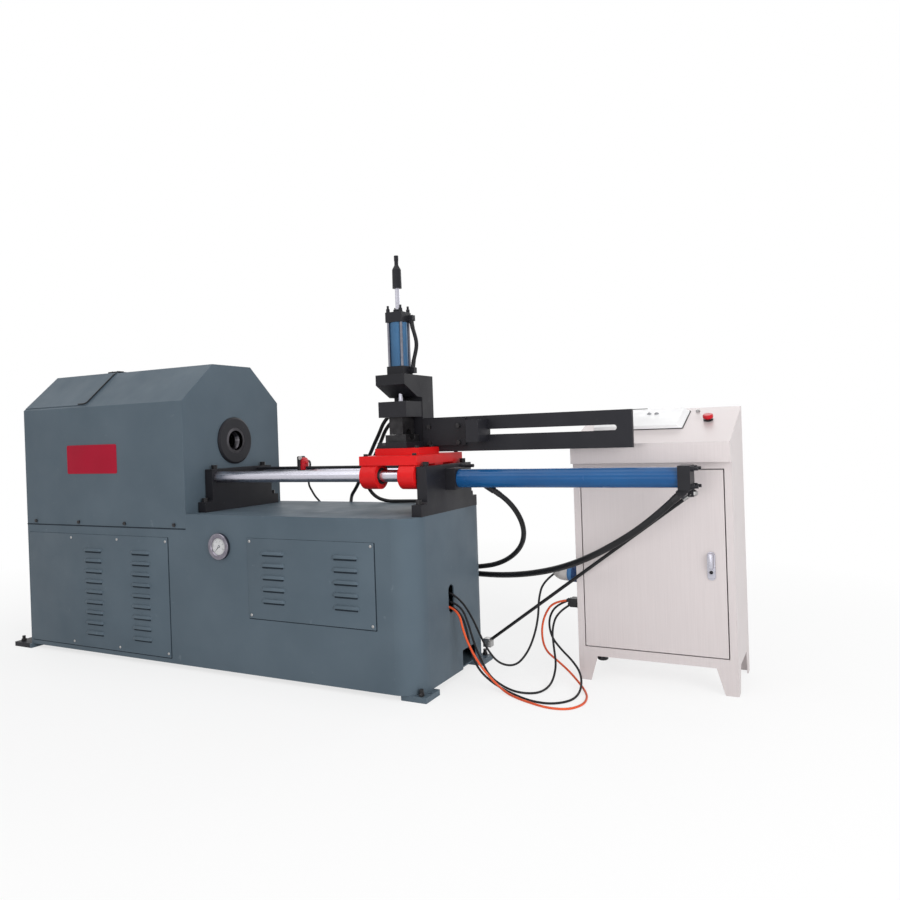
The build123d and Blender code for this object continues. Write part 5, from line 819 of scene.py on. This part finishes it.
def limit_switch():
    """Dark switch case with a pale roller, and the red cover round its plunger."""
    low, high = box_mm("limit_switch")
    left, split, nose = low.x - 8, low.x + 11, high.x - 4
    top = high.z + 10
    depth = high.y - low.y + 6
    node = "limit_switch"
    place = Matrix.Translation((0, high.y + 3, 0)) @ TO_FRONT
    case = Blank().slab(rectangle(left, split, low.z, top), place, thickness=depth, rounding=7, soft=2)
    case.finish("switch_case", "black_plastic", "black_plastic", instead_of=node)
    roller = [(0, 0), (0, 8), (1.5, 9), (7, 9), (8.5, 8), (8.5, 3.5), (9.5, 3), (9.5, 0)]
    wheel = Blank().turn(roller, (split + 1, low.y, top - 9), FRONTWARDS, 32)
    wheel.finish("switch_roller", "pale_plastic", "grey_plastic", instead_of=node)
    foot = low.z + 4
    outline = [(split, foot), (nose, foot), (nose, top - 24), (nose - 8, top - 10), (split, top - 6)]
    inset = Matrix.Translation((0, -1.5, 0)) @ place
    cover = Blank().slab(outline, inset, thickness=depth - 3, rounding=3, soft=1.8)
    plunger = [(0, 0), (0, 7), (4.5, 7), (6.5, 5), (7, 0)]
    cover.turn(plunger, (nose, (low.y + high.y) / 2, high.z - 23), RIGHTWARDS, 28)
    cover.finish("switch_cover", "red_plastic", "red_plastic", instead_of=node)


def rod_wipers():
    """Dark seals at both ends of the four bearing housings."""
    low, high = box_mm("bearing_housings")
    rods_low, rods_high = box_mm("guide_rods")
    radius = (rods_high.z - rods_low.z) / 2
    height = (rods_high.z + rods_low.z) / 2
    wiper = ring(0, 2.6, radius + 0.3, radius + 9, soft=1)
    ends = [(low.x, LEFTWARDS), (low.x + BEARING_LENGTH, RIGHTWARDS)]
    ends += [(high.x - BEARING_LENGTH, LEFTWARDS), (high.x, RIGHTWARDS)]
    wipers = Blank()
    for depth in (rods_low.y + radius, rods_high.y - radius):
        for end, way in ends:
            wipers.turn(wiper, (end, depth, height), way, 36)
    wipers.finish("rod_wipers", "black_rubber", "black_rubber", "carriage")


# Clamp tower: bright sleeves of the tie rods
TIE_ROD_REACH = 30.97


def tie_sleeves():
    """Thin sleeves round the four tie rods, between the ends of the clamp cylinder."""
    low, high = box_mm("clamp_cylinder_tube")
    middle = (low + high) / 2
    sleeve = ring(low.z + 0.2, high.z - 0.2, 5.05, 5.7, soft=0.4)
    sleeves = Blank()
    for side in (-TIE_ROD_REACH, TIE_ROD_REACH):
        for depth in (-TIE_ROD_REACH, TIE_ROD_REACH):
            sleeves.turn(sleeve, (middle.x + side, middle.y + depth, 0), UPWARDS, 20)
    sleeves.finish("tie_sleeves", "dark_chrome", "bright_steel", "carriage")


# Thin drain line: pale end screw on the feed cylinder and its boss on the base
BOSS_HALF = 19
BOSS_LENGTH = 37


def drain_fittings():
    """End screw with a domed head, and a block on the right end of the base."""
    start, end = (Vector(spot) for spot in ROUTES["drain_hose"])
    spot = (box_mm("hose_fittings")[1].x, start.y, start.z + 3)
    fittings = Blank().nut(spot, RIGHTWARDS, 12, -1, 8)
    fittings.turn([(8, 0), (8, 9), (11, 8), (13, 5.5), (13.6, 0)], spot, RIGHTWARDS, 28)
    wall = box_mm("tail_support")[1].x
    low = (wall, end.y - BOSS_HALF, end.z - BOSS_HALF)
    high = (wall + BOSS_LENGTH, end.y + BOSS_HALF, end.z + BOSS_HALF)
    fittings.block(low, high, soft=4)
    fittings.finish("drain_fittings", "bright_steel", "bright_steel")


# Control cabinet: plug, glands, door handle and console
PLUG_Y, PLUG_Z = 236.5, 420
SOCKET_HALF = 31
SOCKET_FLANGE = 8
SOCKET_SCREW = 25
GLAND_FRONT, GLAND_BACK = 210.5, 262.5
GLAND_FOOT, GLAND_TOP = 281, 321
GLAND_REACH = 44
GLAND_SPOTS = ((222, 309.5), (238, 290), (252, 305.5))
FLOOR_GLAND = (1721, 244.5, 100)


def socket_and_glands():
    """Flanged socket of the plug, the gland block below it and the gland underneath the cabinet."""
    wall = box_mm("cabinet_shell")[0].x
    corners = rectangle(-SOCKET_HALF, SOCKET_HALF, -SOCKET_HALF, SOCKET_HALF)
    place = Matrix.Translation((wall, PLUG_Y, PLUG_Z)) @ TO_LEFT
    fittings = Blank().slab(corners, place, thickness=SOCKET_FLANGE, rounding=7, soft=1.2)
    screw = [(0, 0), (0, 4), (1.4, 3.4), (2, 0)]
    for y in (PLUG_Y - SOCKET_SCREW, PLUG_Y + SOCKET_SCREW):
        for z in (PLUG_Z - SOCKET_SCREW, PLUG_Z + SOCKET_SCREW):
            fittings.turn(screw, (wall - SOCKET_FLANGE, y, z), LEFTWARDS, 16)
    low = (wall - GLAND_REACH, GLAND_FRONT + 3, GLAND_FOOT + 2)
    fittings.block(low, (wall - 3, GLAND_BACK - 3, GLAND_TOP - 2), soft=3)
    low = (wall - 9, GLAND_FRONT - 2, GLAND_FOOT - 4)
    fittings.block(low, (wall, GLAND_BACK + 2, GLAND_TOP + 2), soft=2)
    cap = [(9, 0), (9, 7.4), (13, 6.6), (14.5, 5.2), (14.5, 0)]
    for y, z in GLAND_SPOTS:
        spot = (wall - GLAND_REACH, y, z)
        fittings.nut(spot, LEFTWARDS, 10, -2, 9)
        fittings.turn(cap, spot, LEFTWARDS, 24)
    washer = [(0, 0), (0, 27), (5, 27), (6, 25.5), (6, 0)]
    fittings.turn(washer, FLOOR_GLAND, DOWNWARDS, 40)
    fittings.nut(FLOOR_GLAND, DOWNWARDS, 26, 6, 21)
    mouth = [(21, 0), (21, 22), (26, 21.5), (29, 18), (29, 12), (25, 11), (25, 0)]
    fittings.turn(mouth, FLOOR_GLAND, DOWNWARDS, 40)
    fittings.finish("socket_and_glands", "black_plastic", "black_plastic", instead_of="side_connectors")


def plug():
    """Plug with a ribbed lock ring and a blue collar, its pale body and the nut round the cable."""
    start = (box_mm("cabinet_shell")[0].x - SOCKET_FLANGE, PLUG_Y, PLUG_Z)
    node = "side_connectors"
    outline = [(0, 0), (0, 33), (2, 35)]
    for rib in (0, 6, 12):
        outline += [(rib + 3, 35), (rib + 4.5, 33), (rib + 6, 33), (rib + 7.5, 35)]
    outline += [(21, 35), (22, 34), (22, 0)]
    lock_ring = Blank().turn(outline, start, LEFTWARDS, 56)
    lock_ring.finish("plug_lock_ring", "plug_ring_blue", instead_of=node)
    outline = [(22, 0), (22, 32), (24, 33), (38, 33), (40, 32), (42, 30), (42, 0)]
    collar = Blank().turn(outline, start, LEFTWARDS, 56)
    collar.finish("plug_collar", "plug_blue", instead_of=node)
    outline = [(42, 0), (42, 29.5), (44, 31), (60, 30.5), (76, 28), (86, 24), (92, 21), (92, 0)]
    body = Blank().turn(outline, start, LEFTWARDS, 48)
    body.nut(start, LEFTWARDS, 18.5, 92, 101)
    body.turn([(101, 0), (101, 14), (104, 12.6), (107, 9), (107, 0)], start, LEFTWARDS, 32)
    body.finish("plug_body", "pale_plastic", "grey_plastic", instead_of=node)


GRIP_HALF = 9.5
GRIP_FOOT = 42
BARREL_RISE = 31


def door_handle():
    """Chrome lever on its rosette, with the lock barrel below the grip."""
    low, high = box_mm("door_handle")
    x = (low.x + high.x) / 2
    half = (high.x - low.x) / 2 + 2
    door_face = box_mm("cabinet_door")[0].y - 0.3
    on_door = Matrix.Translation((0, door_face, 0)) @ TO_FRONT
    barrel_spot = (x, door_face, low.z + BARREL_RISE)
    node = "door_handle"
    rosette = rectangle(x - half, x + half, low.z, high.z)
    handle = Blank().slab(rosette, on_door, thickness=5, rounding=half - 1, soft=2)
    foot, top, wide = low.z + GRIP_FOOT, high.z - 3, GRIP_HALF + 2
    grip = [(x - GRIP_HALF, foot), (x + GRIP_HALF, foot), (x + wide, top), (x - wide, top)]
    handle.slab(grip, on_door, thickness=20, rounding=GRIP_HALF - 0.8, soft=6)
    barrel = [(0, 0), (0, 11.5), (9, 11.5), (10.5, 10), (10.5, 7.6), (7, 7.2), (7, 0)]
    handle.turn(barrel, barrel_spot, FRONTWARDS, 32)
    handle.finish("handle_lever", "chrome_steel", "chrome_steel", "door_handle", node)
    barrel_face = [(6.9, 0), (6.9, 7.1), (8.4, 6.6), (8.8, 5.6), (8.8, 0)]
    keyway = Blank().turn(barrel_face, barrel_spot, FRONTWARDS, 28)
    keyway.finish("handle_keyway", "black_oxide", "black_oxide", "door_handle", node)


CONSOLE_EDGE = 957
CABINET_LOW, CABINET_HIGH = box_mm("cabinet_shell")
CONSOLE_FOOT = Vector((CABINET_LOW.x, CABINET_LOW.y, CONSOLE_EDGE))
CONSOLE_UP = Vector((0, CABINET_HIGH.y - CABINET_LOW.y, CABINET_HIGH.z - CONSOLE_EDGE)).normalized()
CONSOLE_OUT = Vector((0, -CONSOLE_UP.z, CONSOLE_UP.y))
PANEL_LEFT, PANEL_RIGHT = 59, 420
PANEL_FOOT, PANEL_TOP = 153, 364
PANEL_RISE = 18
PANEL_SLANT = 22
LAMP_SPOTS = ((263, 293.5), (294, 292))
KEY_SPOT = (451, 353)
STOP_SPOT = (507, 241)


def on_console(along, up, lift=0):
    """A spot on the sloping console: along X, up the slope, and off its surface."""
    return CONSOLE_FOOT + Vector((along, 0, 0)) + CONSOLE_UP * up + CONSOLE_OUT * lift


def console_plate():
    """Raised panel with a sloping right side."""
    panel = Blank()
    corners = rectangle(PANEL_LEFT, PANEL_RIGHT, PANEL_FOOT, PANEL_TOP)
    panel.slab(corners, Matrix.Identity(4), thickness=PANEL_RISE, rounding=4, soft=1.2)
    ridge = [
        vert for vert in panel.mesh.verts
        if vert.co.x > PANEL_RIGHT - 9 and vert.co.z > PANEL_RISE / 2
    ]
    bmesh.ops.translate(panel.mesh, verts=ridge, vec=(-PANEL_SLANT, 0, 0))
    way = Matrix((Vector(RIGHTWARDS), CONSOLE_UP, CONSOLE_OUT)).transposed().to_4x4()
    panel.settle(set(), Matrix.Translation(CONSOLE_FOOT) @ way)
    panel.finish("console_plate", "white_panel", "white_panel", instead_of="console_panel")


def console_gaskets():
    """Dark bead round the panel's foot and dark bar along the left part of its back edge, both painted
    shadow, and the collar of the stop button.
    """
    left, right, foot, top, cut = PANEL_LEFT, PANEL_RIGHT, PANEL_FOOT, PANEL_TOP, 4
    outline = [
        (left + cut, foot), (right - cut, foot), (right, foot + cut), (right, top - cut),
        (right - cut, top), (left + cut, top), (left, top - cut), (left, foot + cut),
    ]
    # A dark bead round the panel's foot: painted shadow under the panel's edge.
    shadow_beads_and_collar = Blank().bead([on_console(x, up, 1) for x, up in outline], 2.2, closed=True)
    # A dark bar along the left part of the panel's back edge: painted shade.
    back_edge_shade = [on_console(left + along, top + 3, PANEL_RISE - 2) for along in (4, 94, 182)]
    shadow_beads_and_collar.bead(back_edge_shade, 3.4)
    shadow_beads_and_collar.turn(ring(0, 6.2, 10.3, 19, soft=1.2), on_console(*STOP_SPOT), CONSOLE_OUT, 40)
    shadow_beads_and_collar.finish("console_gaskets", "black_rubber", "black_rubber", instead_of="console_panel")


def console_switches():
    """Two lamps on the panel and the key switch beside it."""
    lamp = [(0, 0), (0, 9), (2.4, 9), (3.2, 8), (3.2, 6.2), (5, 6), (6.4, 4.4), (7, 0)]
    lamps = Blank()
    for spot in LAMP_SPOTS:
        lamps.turn(lamp, on_console(*spot, PANEL_RISE), CONSOLE_OUT, 28)
    lamps.finish("console_lamps", "grey_plastic", "grey_plastic", instead_of="console_panel")
    key_switch = [(0, 0), (0, 9), (3, 9), (4, 7.6), (8, 7), (9, 5.8), (9, 3), (7, 2.6), (7, 0)]
    key = Blank().turn(key_switch, on_console(*KEY_SPOT), CONSOLE_OUT, 32)
    key.finish("console_key", "bright_steel", "bright_steel")


# Hoses and cables: routes in millimetres from where each one leaves the machine
ROUTES = {
    "feed_hose": [
        (1352, 18, 786), (1382, 33, 762), (1408, 60, 728), (1424, 98, 684),
        (1427, 142, 634), (1414, 188, 582), (1382, 234, 530), (1328, 276, 480),
        (1254, 312, 438), (1166, 336, 412), (1072, 346, 402),
    ],
    "return_hose": [
        (2098, 0, 774), (2066, 0, 744), (2022, 2, 705), (1972, 5, 664),
        (1908, 12, 618), (1828, 26, 570), (1738, 54, 522), (1638, 104, 478),
        (1528, 166, 440), (1400, 234, 407), (1272, 300, 384), (1164, 350, 372),
        (1072, 374, 369),
    ],
    "drain_hose": [(2132, 26, 772), (1182, 284, 82)],
    "clamp_loop_hose": [
        (996, 22, 1512), (999, 22, 1482), (1009, 22, 1451), (1017, 22, 1420),
        (1017, 22, 1394), (1009, 22, 1363), (999, 22, 1332), (996, 22, 1302),
    ],
    "clamp_hose_a": [
        (858, 116, 1132), (817, 120, 1116), (770, 131, 1080), (735, 147, 1031),
        (696, 165, 985), (659, 184, 939), (621, 203, 893), (584, 224, 848),
        (549, 246, 804), (511, 270, 767), (471, 297, 739), (440, 333, 713),
        (413, 366, 677), (396, 388, 626), (391, 394, 574),
    ],
    "clamp_hose_b": [
        (858, 142, 1104), (808, 146, 1086), (762, 158, 1047), (728, 175, 999),
        (691, 193, 951), (651, 212, 903), (610, 230, 853), (590, 245, 808),
        (599, 260, 760), (633, 272, 724), (686, 278, 709), (738, 280, 709),
        (790, 278, 710), (842, 275, 711), (894, 271, 712), (944, 266, 714),
    ],
    "switch_cable": [
        (330, 118, 914), (327, 150, 915), (313, 180, 902), (295, 201, 880),
        (276, 220, 857), (259, 239, 832), (239, 258, 809), (227, 276, 782),
        (229, 297, 753), (230, 319, 725), (244, 337, 698), (262, 347, 670),
        (268, 350, 635), (268, 348, 602),
    ],
    "orange_cable": [
        (1074, -38, 316), (1146, -38, 316), (1215, -52, 292), (1241, -72, 223),
        (1278, -85, 157), (1322, -89, 94), (1370, -74, 35), (1432, -99, 6),
        (1498, -139, 5), (1569, -170, 5), (1642, -193, 5), (1714, -178, 5),
        (1747, -111, 5), (1738, -34, 5), (1707, 36, 5), (1662, 97, 15),
        (1608, 147, 37), (1546, 185, 63), (1482, 209, 95), (1464, 219, 167),
        (1480, 222, 242), (1525, 222, 302), (1595, 222, 311),
    ],
    "black_cable": [
        (1074, -26, 332), (1144, -26, 332), (1216, -30, 311), (1248, -36, 245),
        (1271, -41, 174), (1303, -45, 106), (1342, -48, 42), (1410, -54, 9),
        (1478, -78, 5), (1543, -62, 5), (1562, 4, 5), (1563, 75, 17),
        (1557, 135, 62), (1533, 178, 119), (1519, 200, 189), (1539, 221, 258),
        (1595, 238, 291),
    ],
    "lower_cable": [
        (1074, -12, 310), (1145, -12, 310), (1213, -30, 285), (1248, -52, 222),
        (1267, -65, 149), (1298, -70, 79), (1354, -65, 29), (1426, -80, 7),
        (1492, -117, 5), (1558, -148, 5), (1632, -150, 5), (1686, -102, 5),
        (1699, -30, 5), (1692, 44, 21), (1667, 109, 51), (1617, 157, 81),
        (1557, 198, 109), (1503, 229, 151), (1489, 244, 223), (1529, 250, 286),
        (1595, 252, 307),
    ],
    "plug_cable": [
        (1074, -10, 366), (1146, -10, 367), (1204, -2, 327), (1238, 18, 260),
        (1257, 42, 190), (1282, 61, 119), (1325, 80, 57), (1391, 103, 47),
        (1440, 118, 104), (1468, 131, 176), (1482, 145, 251), (1475, 174, 322),
        (1481, 220, 383), (1535, 236.5, 423),
    ],
}
DARK_ENDS = ("black_oxide", "black_oxide")
PALE_ENDS = ("bright_steel", "bright_steel")
CRIMPS = (1, 1, 0.93, 1, 1, 0.93, 1, 1, 0.93, 1, 0.97)
CRIMP_START = 4
CRIMP_STEP = 3.2
SLEEVE_WALL = 1.2


def route_curve(node, diameter):
    """Smooth round cord with the route's points as its control points."""
    curve = bpy.data.curves.new(node + "_line", "CURVE")
    curve.dimensions = "3D"
    curve.resolution_u = 12
    curve.bevel_depth = diameter / 2
    curve.bevel_resolution = 5
    curve.use_fill_caps = True
    points = ROUTES[node]
    spline = curve.splines.new("NURBS")
    spline.points.add(len(points) - 1)
    for point, place in zip(spline.points, points):
        point.co = (*(Vector(place) * MM), 1)
    spline.order_u = 3
    spline.use_endpoint_u = True
    cord = bpy.data.objects.new(node + "_sheath", curve)
    scene.collection.objects.link(cord)
    return cord


def line_of(cord):
    """Points along the middle of a cord, read from its spline."""
    depth = cord.data.bevel_depth
    cord.data.bevel_depth = 0
    mesh = bpy.data.meshes.new_from_object(cord)
    points = [vert.co.copy() for vert in mesh.vertices]
    bpy.data.meshes.remove(mesh)
    cord.data.bevel_depth = depth
    return points


def spot_along(line, distance):
    """The spot at a distance from the start of a line."""
    for start, end in zip(line, line[1:]):
        run = (end - start).length
        if distance <= run:
            return start.lerp(end, distance / run)
        distance -= run
    return line[-1]


def hose_sleeves(node, line, diameter, ends):
    """Crimped sleeve and hexagon at the ends of a hose, each with its finish and body."""
    radius = diameter / MM / 2 + SLEEVE_WALL
    line = [point / MM for point in line]
    pieces = []
    for end, path, (finish, body) in zip(("start", "end"), (line, line[::-1]), ends):
        points = [spot_along(path, CRIMP_START + CRIMP_STEP * step) for step in range(len(CRIMPS))]
        sleeve = Blank().bead(points, radius, CRIMPS)
        sleeve.nut(path[0], points[1] - path[0], radius + 3, -3, 8)
        pieces.append(sleeve.finish(f"{node}_{end}_sleeve", finish, finish, body))
    return pieces


def lay_cord(
    node, diameter,
    sleeves=(), finish="black_rubber", body="machine_base",
):
    """A hose or cable that keeps its shape, with sleeves if it has any."""
    cord = route_curve(node, diameter)
    cord.data.materials.append(FINISHES[finish])
    ends = [(sleeve_finish, body) for sleeve_finish in sleeves]
    pieces = hose_sleeves(node, line_of(cord), diameter, ends)
    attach(cord, body)
    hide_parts(node)


def lay_moving_hose(node, diameter):
    """A hose between the tower on the carriage and the bed, made a fixed mesh that keeps its laid shape.
    """
    cord = route_curve(node, diameter)
    path = line_of(cord)
    mesh = bpy.data.meshes.new_from_object(cord)
    bpy.data.objects.remove(cord)
    hose = bpy.data.objects.new(node + "_sheath", mesh)
    scene.collection.objects.link(hose)
    mesh.materials.clear()
    mesh.materials.append(FINISHES["black_rubber"])
    for face in mesh.polygons:
        face.use_smooth = True
    ends = zip(DARK_ENDS, ("carriage", "machine_base"))
    pieces = hose_sleeves(node, path, diameter, ends)
    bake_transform(hose)
    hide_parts(node)


hood_plate()
lid_seal()
lid_latch()
skirt_seal()
louvre_covers()
cover_screws()
gauge()
limit_switch()
rod_wipers()
tie_sleeves()
drain_fittings()
socket_and_glands()
plug()
door_handle()
console_plate()
console_gaskets()
console_switches()
lay_cord("feed_hose", 0.022, DARK_ENDS)
lay_cord("return_hose", 0.026, DARK_ENDS)
lay_cord("drain_hose", 0.014, PALE_ENDS)
lay_cord("clamp_loop_hose", 0.017, DARK_ENDS, body="carriage")
lay_moving_hose("clamp_hose_a", 0.017)
lay_moving_hose("clamp_hose_b", 0.017)
lay_cord("switch_cable", 0.010)
lay_cord("orange_cable", 0.009, finish="orange_rubber")
lay_cord("black_cable", 0.009)
lay_cord("lower_cable", 0.009)
lay_cord("plug_cable", 0.009)
